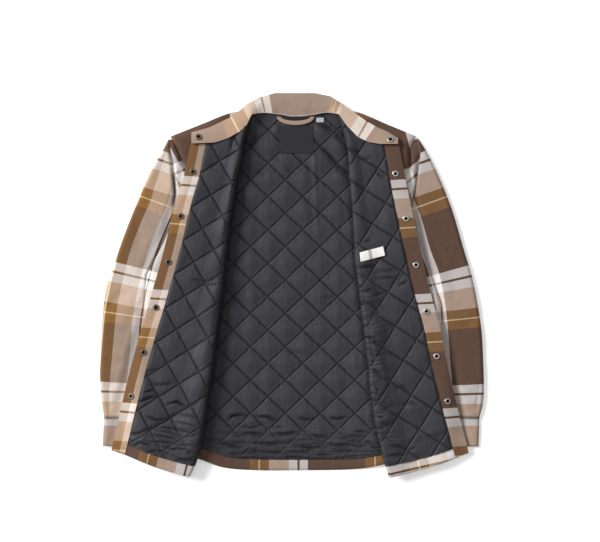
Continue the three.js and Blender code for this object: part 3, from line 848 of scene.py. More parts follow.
@dataclass
class Cloth:
    """A piece of cloth, first a flat grid and then laid out by a function of its shares.

    Attributes:
        name: The piece's name.
        columns: Shares across at which the grid has points.
        rows: Shares along.
        place: Millimetre points of the middle of the cloth, from both shares.
        pattern: Millimetre coordinates of the cloth's pattern, from both shares.
        thick: The cloth's thickness, in millimetres.
        marks: How much painted shade darkens the cloth, or how gathered it is, from 0 to 1, from both shares.
        closed: Whether the last column meets the first, as on a tube.
    """

    name: str
    columns: Array
    rows: Array
    place: Callable[[Array, Array], Array]
    pattern: Callable[[Array, Array], Array]
    thick: float
    marks: dict[str, Callable[[Array, Array], Array]] = field(default_factory=dict)
    closed: bool = False

    def build(self) -> bpy.types.Object:
        """Returns the finished mesh, with its thickness.

        Returns:
            The piece.
        """
        deselect_all()
        across, along = len(self.columns) - 1, len(self.rows) - 1
        bpy.ops.mesh.primitive_grid_add(x_subdivisions=across, y_subdivisions=along, size=1)
        piece = bpy.context.object
        piece.name = piece.data.name = self.name
        mesh = piece.data
        flat = np.zeros(len(mesh.vertices) * 3)
        mesh.vertices.foreach_get("co", flat)
        flat = flat.reshape(-1, 3)
        u = np.asarray(self.columns, float)[np.rint((flat[:, 0] + 0.5) * across).astype(int)]
        v = np.asarray(self.rows, float)[np.rint((flat[:, 1] + 0.5) * along).astype(int)]
        mesh.vertices.foreach_set("co", (self.place(u, v) * MM).ravel())
        ids = np.zeros(len(mesh.loops), int)
        mesh.loops.foreach_get("vertex_index", ids)
        cloth = self.pattern(u, v)[ids] * MM
        layer = mesh.uv_layers.active
        layer.name = CLOTH_MAP
        layer.data.foreach_set("uv", cloth.ravel())
        for name, mark in self.marks.items():
            made = mesh.attributes.new(name, "FLOAT", "POINT")
            made.data.foreach_set("value", np.clip(mark(u, v), 0, 1))
        mesh.update()
        if self.closed:
            recalculate(piece)
        apply_modifier(piece, "SOLIDIFY", thickness=self.thick * MM, offset=0, use_even_offset=False)
        recalculate(piece)
        shade(piece)
        return piece


def dress(piece: bpy.types.Object, material: bpy.types.Material, nodes: Sequence[str]) -> None:
    """Gives a piece its finish, and says which body and CAD nodes it goes with.

    Args:
        piece: Piece to finish.
        material: Its material.
        nodes: CAD nodes that it stands for.
    """
    piece.data.materials.clear()
    piece.data.materials.append(material)
    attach(piece, "root")
    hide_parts(*nodes)
    area = sum(face.area for face in piece.data.polygons) / 2
    LOG.info("%s: %d faces, cloth of %.4f m2", piece.name, len(piece.data.polygons), area)


def even(count: int, start: float = 0.0, end: float = 1.0) -> Array:
    """Returns evenly spaced shares."""
    return np.linspace(start, end, count + 1)


# The garment's plan


@dataclass
class Side:
    """One side of the garment: its outlines, in millimetres, and what is worked out from them.

    Attributes:
        name: right or left, as the wearer says.
        out: Which way along X the sleeve lies.
        grain: Lean of the turned-back cloth's grain, in degrees.
        turned_plaid: Plan point, then across and along, at which the turned-back plaid is known.
        lower_plaid: The same of the under layer, whose pattern runs the other way.
        lower_grain: Lean of the under layer's grain, in degrees.
        strip_plaid: Across at the facing's outer edge, then two Y of the dark weft line.
        fold_shade: How much painted shade darkens the far side of the fold, from 0 to 1.
        fold_gather: How gathered the lining is along the fold, from 0 to 1.
        hem_gather: How gathered the lining is above the hem, from 0 to 1.
        sleeve_line: Plan points of one grain line of the sleeve.
        sleeve_plaid: Across on that line, then Y of its three dark weft lines.
        sleeve_full: How many times wider the sleeve's cloth is than it looks, beyond that line.
        cuff_plaid: Across at the cuff's left edge, and along at its seam.
        cap_line: Plan points of the crease that parts the sleeve's cap from the rest.
        cap_warp: Plan point where brown yarns begin across the cap, and their lean in degrees.
        cap_weft: Plan point where brown yarns end down the cap, and their lean in degrees.
    """

    name: str
    out: int
    armhole: Points
    side_seam: Points
    fold: Points
    edge: Points
    turned_hem: Points
    turned_neck: Points
    lower_hem: Points
    shoulder: Points
    sleeve_outer: Points
    sleeve_inner: Points
    cuff_outer: Points
    cuff_inner: Points
    quilt_start: tuple[float, float]
    quilt_size: tuple[float, float]
    puff: float
    fold_shade: float
    fold_gather: float
    hem_gather: float
    snaps: Points
    grain: float
    turned_plaid: tuple[float, float, float, float]
    lower_plaid: tuple[float, float, float, float]
    lower_grain: float
    strip_plaid: tuple[float, float, float]
    sleeve_line: Points
    sleeve_plaid: tuple[float, float, float, float]
    sleeve_full: float
    cuff_plaid: tuple[float, float]
    cap_line: Points
    cap_warp: tuple[float, float, float]
    cap_weft: tuple[float, float, float]
    sleeve_creases: tuple[Crease, ...] = ()
    sleeve_gaps: tuple[Crease, ...] = ()
    lower_creases: tuple[Crease, ...] = ()
    turned_creases: tuple[Crease, ...] = ()
    lining_creases: tuple[Crease, ...] = ()
    armhole_curve: PlanCurve = field(init=False)
    outline: PlanCurve = field(init=False)
    roll_line: PlanCurve = field(init=False)
    lower: PlanPatch = field(init=False)
    lower_lining: PlanPatch = field(init=False)
    turned: PlanPatch = field(init=False)
    outline_x: Callable[[Array], Array] = field(init=False)
    fold_x: Callable[[Array], Array] = field(init=False)
    edge_x: Callable[[Array], Array] = field(init=False)

    def __post_init__(self) -> None:
        """Works out the side's curves and patches."""
        out = self.out
        self.armhole_curve = curve_through(self.armhole)
        self.outline = joined(self.armhole_curve, curve_through(self.side_seam), ARMHOLE_SHARE)
        self.roll_line = moved(curve_through(self.fold), lambda t: (out * FOLD_REACH, 0))
        shoulder = moved(curve_through(self.shoulder), lambda t: (out * FOLD_REACH * t, 0))
        hem = moved(curve_through(self.lower_hem), lambda t: (out * FOLD_REACH * t, 0))
        self.lower = patch(shoulder, hem, self.outline, self.roll_line)
        inset = LINING_INSET + CORNER_INSET
        self.lower_lining = patch(
            moved(shoulder, lambda t: (-out * inset * (1 - t), -LINING_INSET * (1 - ease(0.6, 1, t)))),
            moved(hem, lambda t: (-out * LINING_INSET * (1 - t), 0)),
            moved(
                self.outline,
                lambda t: (
                    -out * (inset - CORNER_INSET * ease(0, 0.15, t)),
                    -LINING_INSET * (1 - ease(0, 0.2, t)),
                ),
            ),
            self.roll_line,
        )
        neck = moved(curve_through(self.turned_neck), lambda t: (out * FOLD_REACH * (1 - t), 0))
        turned_hem = moved(curve_through(self.turned_hem), lambda t: (out * FOLD_REACH * (1 - t), 0))
        edge = curve_through(self.edge)
        self.turned = patch(neck, turned_hem, self.roll_line, edge)
        self.outline_x = across_at(self.outline)
        self.fold_x = across_at(self.roll_line)
        self.edge_x = across_at(edge)

    def bed(self, x: Array, y: Array) -> Array:
        """Returns the level of what lies under the turned-back front, with its creases.

        Args:
            x: Places across, in millimetres.
            y: Places along, in millimetres.

        Returns:
            The level at each place.
        """
        from_fold = np.abs(x - self.fold_x(y))
        space = mix(FOLD_SPACE, FLAT_SPACE, ease(0, FOLD_EASE, from_fold))
        on_body = floor_rise(x, y) + LOWER_SHELL_TOP + space
        beyond = ease(2, DROP_WIDTH, self.out * (x - self.outline_x(y)))
        level = mix(on_body, SLEEVE_THICK + LYING_GAP, beyond)
        return level + np.maximum(creased(x, y, self.turned_creases), -0.2)

    def turned_share(self, share: Array, v: Array) -> Array:
        """Returns shares across the turned-back layer, with 0 to 1 up to the facing and 1 to 2 over it."""
        width = np.linalg.norm(self.turned(0 * v, v) - self.turned(0 * v + 1, v), axis=-1)
        start = 1 - FACING_WIDTH / width
        return np.where(share <= 1, start * share, mix(start, 1, share - 1))

    def turned_at(self, share: Array, length: Array) -> Array:
        """Returns plan points of the turned-back layer, with shares of 1 to 2 over the facing."""
        return self.turned(self.turned_share(share, length), length)

    def rolled(self, length: Array, turn: Array, radius: Array) -> Array:
        """Returns points round the fold.

        Args:
            length: Share from the neck to the hem.
            turn: Share round the fold, from under it to over it.
            radius: Distance from the middle of the roll.

        Returns:
            Millimetre points.
        """
        line = self.roll_line(length)
        angle = -np.pi / 2 + np.pi * turn
        centre = floor_rise(line[:, 0], line[:, 1]) + ROLL_CENTRE + self.fold_lift(length) / 2
        across = line[:, 0] - self.out * radius * np.cos(angle)
        return np.column_stack([across, line[:, 1], centre + radius * np.sin(angle)])

    def beyond_edge(self, point: Array) -> Array:
        """Returns how far plan points lie outside the turned-back front's edge."""
        return self.out * (point[:, 0] - self.edge_x(point[:, 1]))

    def turned_quilt(self, point: Array) -> Array:
        """Returns the quilting's own coordinates on the turned-back front."""
        local = turned_by(self.grain, point - np.array(self.quilt_start, float))
        return local * np.array([DIAMOND_WIDE / self.quilt_size[0], DIAMOND_TALL / self.quilt_size[1]])

    def fold_lift(self, v: Array) -> Array:
        """Returns how much fuller the fold stands than the flat layers, from the neck to the hem."""
        wave = 1 + 0.16 * np.sin(31 * v + self.out) + 0.1 * np.sin(53 * v)
        return self.puff * ease(-0.05, 0.16, v) * mix(1.0, 0.45, ease(0.8, 1.0, v)) * wave

    def turned_pattern(self, point: Array) -> Array:
        """Returns the plaid's coordinates on the turned-back front."""
        x, y, across, along = self.turned_plaid
        return turned_by(self.grain, point - np.array([x, y])) + np.array([across, along])

    def lower_pattern(self, point: Array) -> Array:
        """Returns the plaid's coordinates on the under layer, which runs the other way across."""
        x, y, across, along = self.lower_plaid
        local = turned_by(self.lower_grain, point - np.array([x, y]))
        return local * np.array([-1, 1]) + np.array([across, along])

    def sleeve_pattern(self, point: Array) -> Array:
        """Returns the plaid's coordinates on the sleeve, which follow its curved grain line.

        Args:
            point: Plan points.

        Returns:
            Millimetre coordinates on the plaid.
        """
        knots = curve_through(self.sleeve_line)(np.linspace(0, 1, 60))
        steps = np.diff(knots, axis=0)
        lengths = np.linalg.norm(steps, axis=1)
        starts = np.concatenate([[0], np.cumsum(lengths)])
        best = np.full(point.shape[0], np.inf)
        side = np.zeros(point.shape[0])
        arc = np.zeros(point.shape[0])
        for k, (start, step, length) in enumerate(zip(knots[:-1], steps, lengths)):
            direction = step / length
            delta = point - start
            low = -1e4 if k == 0 else 0.0
            high = 1e4 if k == len(steps) - 1 else length
            run = np.clip(delta @ direction, low, high)
            gap = delta - run[:, None] * direction
            distance = np.linalg.norm(gap, axis=1)
            cross = delta[:, 1] * direction[0] - delta[:, 0] * direction[1]
            closer = distance < best
            best = np.where(closer, distance, best)
            side = np.where(closer, cross, side)
            arc = np.where(closer, starts[k] + run, arc)
        across, *lines = self.sleeve_plaid
        arcs = [np.interp(-y, -knots[:, 1], starts) for y in lines]
        known = np.array([DARK_LINE + REPEAT, DARK_LINE, DARK_LINE - REPEAT])
        slope = -REPEAT / ((arcs[2] - arcs[0]) / 2)
        along = np.interp(arc, arcs, known)
        along = np.where(arc < arcs[0], known[0] + (arc - arcs[0]) * slope, along)
        along = np.where(arc > arcs[2], known[2] + (arc - arcs[2]) * slope, along)
        across = across + side * np.where(side > 0, self.sleeve_full, 0.8)
        return np.where(self.on_cap(point)[:, None], self.cap_pattern(point), np.stack([across, along], -1))

    def on_cap(self, point: Array) -> Array:
        """Returns which points lie on the sleeve's cap, between the armhole and the cap's crease."""
        line = np.array(self.cap_line, float)[::-1]
        inward = self.out * (point[:, 0] - np.interp(point[:, 1], line[:, 1], line[:, 0])) < 0
        return inward & (point[:, 1] > line[0, 1])

    def cap_pattern(self, point: Array) -> Array:
        """Returns the plaid's coordinates on the cap, where the cloth is eased and its lines lean.

        Args:
            point: Plan points.

        Returns:
            Millimetre coordinates on the plaid.
        """
        *warp, warp_lean = self.cap_warp
        *weft, weft_lean = self.cap_weft
        across = turned_by(warp_lean, point - np.array(warp))[:, 0]
        along = turned_by(weft_lean, point - np.array(weft))[:, 1]
        return np.stack([REPEAT + across, REPEAT + along], axis=-1)


RIGHT = Side(
    name="right",
    out=-1,
    armhole=[(-255, 311), (-243, 290), (-223, 242), (-221, 200), (-240, 158), (-267, 94), (-304, 21)],
    side_seam=[(-304, 21), (-309, -32), (-309, -136), (-307, -242), (-305, -342)],
    fold=[(-82, 359), (-97, 315), (-110, 246), (-127, 149), (-142, 21), (-154, -78), (-174, -225),
          (-194, -346), (-213, -400)],
    edge=[(-213, 294), (-227, 227), (-246, 164), (-274, 52), (-328, -136), (-355, -242), (-379, -346)],
    turned_hem=[(-213, -400), (-278, -382), (-350, -355), (-379, -346)],
    turned_neck=[(-82, 359), (-95, 334), (-110, 321), (-135, 307), (-173, 297), (-213, 294)],
    lower_hem=[(-305, -342), (-261, -372), (-213, -400)],
    shoulder=[(-255, 311), (-187, 337), (-119, 362), (-82, 359)],
    sleeve_outer=[(-255, 311), (-270, 282), (-293, 242), (-327, 166), (-356, 91), (-379, 25), (-394, -39),
                  (-402, -165), (-401, -222), (-394, -279)],
    sleeve_inner=[(-304, 21), (-299, -17), (-274, -74), (-255, -158), (-263, -242), (-271, -279)],
    cuff_outer=[(-394, -279), (-397, -337)],
    cuff_inner=[(-271, -279), (-276, -338)],
    quilt_start=(-205.3, 47.3),
    quilt_size=(68.5, 72.8),
    puff=8.5,
    fold_shade=0.85,
    fold_gather=0.0,
    hem_gather=0.85,
    snaps=[(-208, 237), (-233, 144), (-259, 48), (-285, -47), (-311, -141), (-337, -233)],
    grain=-14.5,
    turned_plaid=(-219.4, -372.0, 223.0, 60.0),
    lower_plaid=(-229.4, 233.0, 112.0, 232.0),
    lower_grain=6.5,
    strip_plaid=(144.0, 207.9, -266.7),
    sleeve_line=[(-255, 311), (-287, 220), (-300, 178), (-318, 136), (-335, 94), (-349, 48), (-370, -46),
                 (-377, -111), (-383, -176), (-386, -214), (-387, -279)],
    sleeve_plaid=(158.0, 260.0, 23.0, -224.0),
    sleeve_full=1.17,
    cuff_plaid=(44.0, 219.0),
    cap_line=[(-256, 311), (-257, 279), (-250, 252), (-246, 221), (-242, 172)],
    cap_warp=(-240.0, 260.0, 27.0),
    cap_weft=(-236.0, 259.0, 22.0),
    sleeve_creases=creases(
        ([(-257, 308), (-255, 273), (-247, 226), (-241, 189), (-244, 166)], 4.0, 4.2),
        ([(-270, 120), (-300, 60), (-318, 10)], 9.0, 2.2),
        ([(-330, 150), (-318, 110), (-322, 70)], 12.0, 1.8),
        ([(-300, -20), (-330, -60), (-352, -110)], 11.0, 2.2),
        ([(-392, -60), (-372, -30), (-350, -20)], 10.0, 1.8),
        ([(-396, -150), (-372, -165), (-352, -160)], 9.0, 1.6),
        ([(-399, -205), (-384, -214), (-368, -204)], 7.0, 1.5),
        ([(-396, -246), (-384, -252), (-370, -250)], 6.0, 1.8),
    ),
    sleeve_gaps=creases(
        ([(-256, 308), (-257, 279), (-250, 256), (-247, 240)], 3.2, 2.6),
        ([(-252, 242), (-248, 219), (-246, 190), (-250, 160)], 3.6, 4.6),
        ([(-240, 158), (-267, 94), (-305, 21), (-309, -32)], 3.0, 1.8),
    ),
    lower_creases=creases(
        ([(-222, 260), (-232, 238), (-246, 214)], 5.0, 3.0),
        ([(-212, 300), (-218, 262), (-228, 232)], 7.0, 2.0),
    ),
    turned_creases=creases(
        ([(-165, -40), (-200, -70), (-240, -75)], 12.0, -2.0),
        ([(-190, -300), (-250, -292), (-310, -300)], 9.0, -2.2),
        ([(-190, -330), (-240, -322), (-330, -322)], 7.0, -1.8),
        ([(-300, -210), (-330, -260), (-352, -310)], 9.0, -1.5),
    ),
    lining_creases=creases(
        ([(-261, -250), (-240, -244), (-221, -256), (-211, -252), (-192, -244)], 2.7, 5.0),
        ([(-301, -275), (-282, -284), (-261, -281), (-242, -269)], 2.7, 5.0),
        ([(-345, -313), (-320, -311), (-303, -302), (-286, -294), (-267, -286), (-250, -275)], 2.7, 5.6),
        ([(-229, -319), (-215, -317), (-200, -313)], 2.2, 3.6),
        ([(-295, -336), (-316, -330), (-332, -338)], 2.3, 3.1),
        ([(-299, -298), (-267, -298), (-236, -304), (-202, -313)], 2.3, 2.8),
        ([(-309, -319), (-278, -315), (-246, -321), (-223, -330)], 2.3, 2.8),
        ([(-303, -351), (-278, -346), (-259, -353)], 2.3, 3.9),
        ([(-259, -346), (-236, -342), (-219, -344)], 2.2, 3.9),
        ([(-244, -365), (-219, -368), (-206, -359)], 2.2, 3.9),
        ([(-322, -246), (-299, -237), (-276, -233)], 3.1, 5.0),
        ([(-309, -225), (-292, -220), (-284, -227)], 2.2, 3.6),
        ([(-299, -328), (-265, -330), (-232, -336), (-206, -334)], 2.2, 2.2),
        ([(-286, -304), (-253, -309), (-215, -326)], 2.2, 2.1),
        ([(-246, -286), (-219, -290), (-198, -298)], 2.3, 2.5),
        ([(-240, -271), (-215, -273), (-194, -279)], 2.3, 2.2),
        ([(-208, 10), (-185, 8), (-162, 10)], 2.2, 3.1),
        ([(-198, 2), (-173, 0), (-148, 2)], 2.2, 3.1),
        ([(-299, -208), (-278, -210), (-248, -206)], 3.6, 2.8),
        ([(-313, -183), (-299, -181), (-282, -176)], 3.1, 2.8),
        ([(-177, 246), (-164, 250), (-156, 254)], 2.7, 2.2),
        ([(-135, 326), (-124, 304), (-127, 284)], 3.6, 2.5),
    ),
)

LEFT = Side(
    name="left",
    out=1,
    armhole=[(259, 312), (248, 286), (246, 250), (238, 226), (240, 196), (254, 136), (268, 84), (291, 15),
             (311, -38)],
    side_seam=[(311, -38), (314, -136), (314, -242), (312, -342)],
    fold=[(94, 359), (113, 300), (120, 233), (127, 153), (132, 63), (142, -25), (156, -136), (165, -225),
          (180, -319), (201, -402)],
    edge=[(224, 293), (236, 226), (249, 163), (264, 94), (287, -6), (308, -86), (323, -162), (339, -229),
          (370, -352)],
    turned_hem=[(201, -402), (289, -380), (370, -352)],
    turned_neck=[(94, 359), (110, 337), (121, 319), (138, 307), (159, 297), (184, 293), (224, 293)],
    lower_hem=[(312, -342), (264, -376), (201, -402)],
    shoulder=[(259, 312), (193, 338), (129, 363), (94, 359)],
    sleeve_outer=[(259, 312), (279, 281), (304, 232), (334, 157), (360, 70), (379, 6), (395, -85),
                  (400, -162), (401, -237), (392, -279)],
    sleeve_inner=[(311, -38), (298, -69), (277, -116), (264, -178), (266, -242), (270, -279)],
    cuff_outer=[(392, -279), (390, -338)],
    cuff_inner=[(270, -279), (275, -340)],
    quilt_start=(124.8, 155.8),
    quilt_size=(73.0, 73.5),
    puff=5.0,
    fold_shade=0.15,
    fold_gather=0.7,
    hem_gather=0.25,
    snaps=[(216, 233), (238, 139), (259, 42), (281, -55), (302, -149), (325, -243)],
    grain=12.8,
    turned_plaid=(266.2, -383.0, 140.5, 222.0),
    lower_plaid=(237.8, 319.2, 243.0, 316.0),
    lower_grain=15.0,
    strip_plaid=(40.0, 200.6, -277.2),
    sleeve_line=[(212, 311), (222, 280), (235, 244), (253, 190), (272, 136), (290, 73), (306, 31), (318, -21),
                 (326, -86), (332, -163), (336, -208), (338, -279)],
    sleeve_plaid=(0.0, 243.6, 4.0, -230.0),
    sleeve_full=1.0,
    cuff_plaid=(-52.0, 219.0),
    cap_line=[(262, 312), (269, 270), (262, 227), (251, 168)],
    cap_warp=(247.0, 250.0, 18.0),
    cap_weft=(247.0, 246.0, 42.0),
    sleeve_creases=creases(
        ([(277, 284), (264, 266), (261, 238), (252, 188), (249, 164), (252, 140)], 4.0, 4.0),
        ([(285, 100), (312, 60), (325, 20)], 10.0, 2.0),
        ([(350, 60), (336, 20), (345, -30)], 13.0, 1.8),
        ([(395, -60), (372, -80), (352, -76)], 10.0, 2.0),
        ([(322, -90), (340, -140), (346, -190)], 8.0, 1.6),
        ([(395, -200), (388, -240), (386, -278)], 3.0, 1.8),
        ([(340, -222), (362, -236), (382, -230)], 7.0, 1.6),
        ([(345, -256), (368, -262), (392, -258)], 5.0, 1.8),
    ),
    sleeve_gaps=creases(
        ([(268, 272), (264, 244), (262, 227), (256, 192), (250, 164)], 2.6, 3.2),
        ([(266, 92), (286, 30), (314, -55)], 3.0, 2.0),
        ([(311, -42), (312, -64), (311, -84)], 3.4, 4.2),
    ),
    lower_creases=creases(
        ([(240, 300), (250, 270), (252, 236)], 6.0, 3.0),
        ([(232, 318), (226, 292), (232, 270)], 6.0, 2.2),
    ),
    turned_creases=creases(
        ([(150, -60), (180, -80), (230, -70)], 10.0, -2.0),
        ([(150, -160), (165, -175), (190, -170)], 6.0, -2.2),
        ([(160, -215), (180, -225), (200, -214)], 6.0, -2.0),
        ([(175, -290), (230, -262), (280, -250)], 10.0, -1.8),
        ([(190, -340), (250, -318), (330, -300)], 8.0, -1.6),
    ),
    lining_creases=creases(
        ([(121, 286), (134, 279), (146, 281)], 2.7, 4.2),
        ([(138, 267), (151, 262), (167, 267)], 2.7, 2.5),
        ([(176, 242), (184, 229), (197, 225)], 2.7, 2.8),
        ([(134, 212), (146, 204), (155, 197)], 2.5, 2.5),
        ([(142, 92), (155, 92), (167, 94)], 2.5, 3.4),
        ([(142, 36), (159, 38), (176, 40)], 2.7, 4.2),
        ([(172, 27), (197, 29), (222, 32)], 3.1, 2.5),
        ([(176, 13), (201, 15), (226, 13)], 3.1, 2.5),
        ([(209, -4), (222, 13), (237, 32)], 3.1, 4.2),
        ([(220, -4), (230, 2), (243, 8)], 2.5, 3.4),
        ([(146, -13), (159, -10), (170, -6)], 2.5, 3.6),
        ([(167, -23), (180, -19), (197, -15)], 2.5, 2.8),
        ([(142, -44), (153, -38), (170, -44), (184, -59)], 2.7, 3.6),
        ([(136, -122), (151, -109), (165, -109), (180, -122), (193, -132)], 2.7, 4.2),
        ([(159, -174), (172, -176), (188, -191)], 2.3, 3.4),
        ([(170, -212), (178, -218), (184, -216)], 2.2, 3.9),
        ([(172, -237), (170, -258), (172, -284)], 2.5, 4.2),
        ([(176, -273), (184, -277), (193, -275)], 2.2, 3.6),
        ([(167, -298), (180, -300), (193, -298)], 2.2, 4.2),
        ([(214, -216), (230, -212), (245, -223)], 3.1, 2.5),
        ([(230, -250), (247, -246), (264, -250)], 3.2, 2.5),
        ([(201, -334), (222, -338), (243, -344), (256, -342)], 2.7, 3.6),
        ([(201, -357), (226, -355), (247, -353)], 2.3, 4.2),
        ([(180, -326), (188, -338), (184, -351)], 2.7, 3.4),
        ([(197, -200), (180, -149), (182, -107)], 6.0, -2.0),
        ([(167, -94), (172, -126), (178, -162)], 4.0, -2.0),
        ([(165, -246), (161, -267), (159, -288)], 4.0, -1.8),
    ),
)

BACK_NECK = [(-82, 359), (-64, 362), (-30, 359), (6, 354), (41, 357), (71, 362), (94, 359)]
BACK_HEM = [(-305, -342), (-204, -362), (-144, -382), (-74, -388), (27, -388), (123, -386), (190, -376),
            (312, -342)]
BACK_QUILT_START = (23.0, -95.0)
BACK_PLAID = (32.7, -305.0)
BACK_LINING_CREASES = creases(
    ([(46, 346), (58, 338), (75, 330), (92, 315), (102, 304), (113, 298)], 5.0, 5.5),
    ([(52, 298), (69, 281), (81, 267), (92, 250), (107, 239), (117, 225)], 5.0, 5.5),
    ([(-74, 313), (-82, 302), (-91, 290)], 4.5, 5.0),
    ([(-76, 237), (-64, 235), (-55, 229)], 3.0, 2.4),
    ([(-11, 242), (-1, 237), (10, 233)], 3.0, 2.2),
    ([(-43, 275), (-28, 262), (-9, 246)], 4.5, 1.6),
    ([(16, 267), (27, 252), (39, 239)], 4.5, 1.5),
    ([(16, 200), (27, 183), (39, 166)], 4.0, 1.6),
    ([(-47, 351), (-34, 330), (-38, 309)], 6.0, -2.0),
    ([(41, 330), (46, 284), (48, 242), (46, 200)], 4.5, -1.6),
    ([(50, 220), (50, 168), (54, 105)], 5.0, -1.4),
    ([(58, -27), (75, -27), (90, -25)], 2.6, 2.0),
    ([(-11, -141), (4, -143), (23, -143)], 2.4, 2.2),
    ([(-133, -284), (-124, -275), (-108, -273), (-87, -275)], 2.8, 6.1),
    ([(-72, -277), (-51, -277), (-38, -284), (-24, -286)], 2.8, 6.1),
    ([(16, -279), (31, -284), (48, -281)], 2.8, 5.5),
    ([(81, -279), (96, -281), (113, -279)], 2.6, 5.5),
    ([(-108, -315), (-89, -311), (-72, -313), (-57, -315)], 2.8, 6.4),
    ([(-36, -313), (-13, -313), (4, -311), (18, -313)], 2.8, 6.4),
    ([(41, -315), (58, -319), (79, -321)], 3.0, 6.4),
    ([(113, -319), (132, -317), (149, -321)], 2.6, 5.2),
    ([(132, -307), (151, -309), (165, -311)], 2.3, 4.3),
    ([(-160, -328), (-143, -332), (-127, -340), (-103, -340)], 2.6, 4.9),
    ([(-74, -332), (-55, -334), (-38, -336), (-22, -332)], 2.5, 4.3),
    ([(4, -338), (27, -340), (48, -342), (62, -336)], 2.8, 6.1),
    ([(73, -334), (96, -336), (121, -334), (138, -338), (159, -336)], 2.8, 6.4),
    ([(-78, -349), (-55, -351), (-34, -351), (-17, -346)], 2.5, 5.8),
    ([(-133, -353), (-118, -355), (-101, -357)], 2.3, 3.5),
    ([(-11, -351), (12, -351), (39, -353)], 2.3, 4.1),
    ([(86, -349), (104, -351), (125, -349)], 2.3, 4.3),
    ([(153, -326), (165, -332), (178, -344)], 2.5, 5.2),
    ([(-110, -298), (-85, -300), (-59, -294)], 2.6, 2.9),
    ([(-118, -288), (-97, -290), (-76, -286)], 3.0, -1.8),
    ([(-51, -300), (-34, -298), (-15, -300)], 2.6, 2.6),
    ([(-127, -361), (-68, -365), (16, -365), (111, -363), (163, -357)], 2.3, 4.3),
)

# The collar, station by station: neck seam x y z, then free edge x y z
COLLAR_STATIONS = [
    (-211, 296, 21.5, -211, 319, 13.5),
    (-162, 298, 21.5, -173, 330, 13.5),
    (-135, 307, 21.5, -148, 342, 13.5),
    (-110, 321, 22.2, -127, 352, 14.0),
    (-95, 335, 22.2, -110, 365, 14.5),
    (-85, 357, 22.2, -95, 378, 15.0),
    (-64, 363, 12.0, -72, 392, 16.0),
    (-30, 360, 9.0, -36, 402, 17.0),
    (6, 355, 8.5, 6, 402, 17.5),
    (41, 358, 9.0, 48, 402, 17.0),
    (75, 364, 12.0, 81, 395, 16.0),
    (98, 357, 22.2, 107, 377, 15.0),
    (113, 335, 21.5, 130, 361, 14.5),
    (137, 310, 21.5, 155, 343, 14.0),
    (159, 299, 21.5, 180, 329, 13.5),
    (184, 295, 21.5, 201, 320, 13.5),
    (221, 295, 21.5, 221, 307, 13.5),
]
COLLAR_THICK = 2.8
COLLAR_CROWN = 1.5


def back_plan(inset: float) -> PlanPatch:
    """Returns the plan of the back between both side outlines, drawn in where it is lined.

    Args:
        inset: How far it is drawn in, in millimetres.

    Returns:
        The plan patch.
    """
    drop = lambda t: -inset * (1 - ease(0, 0.2, t))
    right = moved(RIGHT.outline, lambda t: (inset, drop(t)))
    left = moved(LEFT.outline, lambda t: (-inset, drop(t)))
    neck = curve_through(BACK_NECK)
    ends = np.array([0.0, 1.0])
    tip_right, tip_left = right(ends[:1])[0], left(ends[:1])[0]
    neck_right, neck_left = neck(ends)
    reach = tip_left[0] - tip_right[0]
    start, end = (neck_right[0] - tip_right[0]) / reach, (neck_left[0] - tip_right[0]) / reach
    low = np.array([0, -min(inset, 2.0)])

    def top(u: Array) -> Array:
        """Returns plan points of the back's upper edge: shoulder, neck, shoulder."""
        t = np.clip((u - start) / (end - start), 0, 1)
        middle = neck(t) + low
        first = mix(tip_right, neck_right + low, np.clip(u / start, 0, 1)[..., None])
        last = mix(tip_left, neck_left + low, np.clip((1 - u) / (1 - end), 0, 1)[..., None])
        made = np.where((u < start)[..., None], first, middle)
        return np.where((u > end)[..., None], last, made)

    bottom = moved(curve_through(BACK_HEM), lambda t: (inset * (1 - 2 * t), 0))
    return patch(top, bottom, right, left)


def by_layer(u: Array, under: Array, around: Array, over: Array) -> Array:
    """Returns a front's values: under it up to u of 1, round its fold up to 2, and then over it."""
    return np.where((u <= 1)[:, None], under, np.where((u < 2)[:, None], around, over))


def seam_round(distance: Array) -> Array:
    """Returns how far a layer has risen from its seam, from 0 at the seam to 1."""
    share = np.clip(distance / SEAM_ROUND, 0, 1)
    return np.sqrt(1 - (1 - share) ** 2)


def hem_rows(count: int) -> Array:
    """Returns shares along a shell: 0 to 1 down to the hem's fold, then 1 to 2 up its turned-up part."""
    return np.concatenate([even(count, 0, 0.998), [1.0], even(4, 1.05, 2.0)])


def hem_parts(v: Array) -> tuple[Array, Array]:
    """Splits shares along a shell into the share of its length and how far the hem is folded over."""
    folded = np.clip(v - 1, 0, 1)
    length = np.where(v <= 1, v, 1 - (1 - HEM_SHARE) * folded)
    return length, np.where(v < 0.9985, 0.0, np.where(v > 1.0001, 1.0, 0.5))


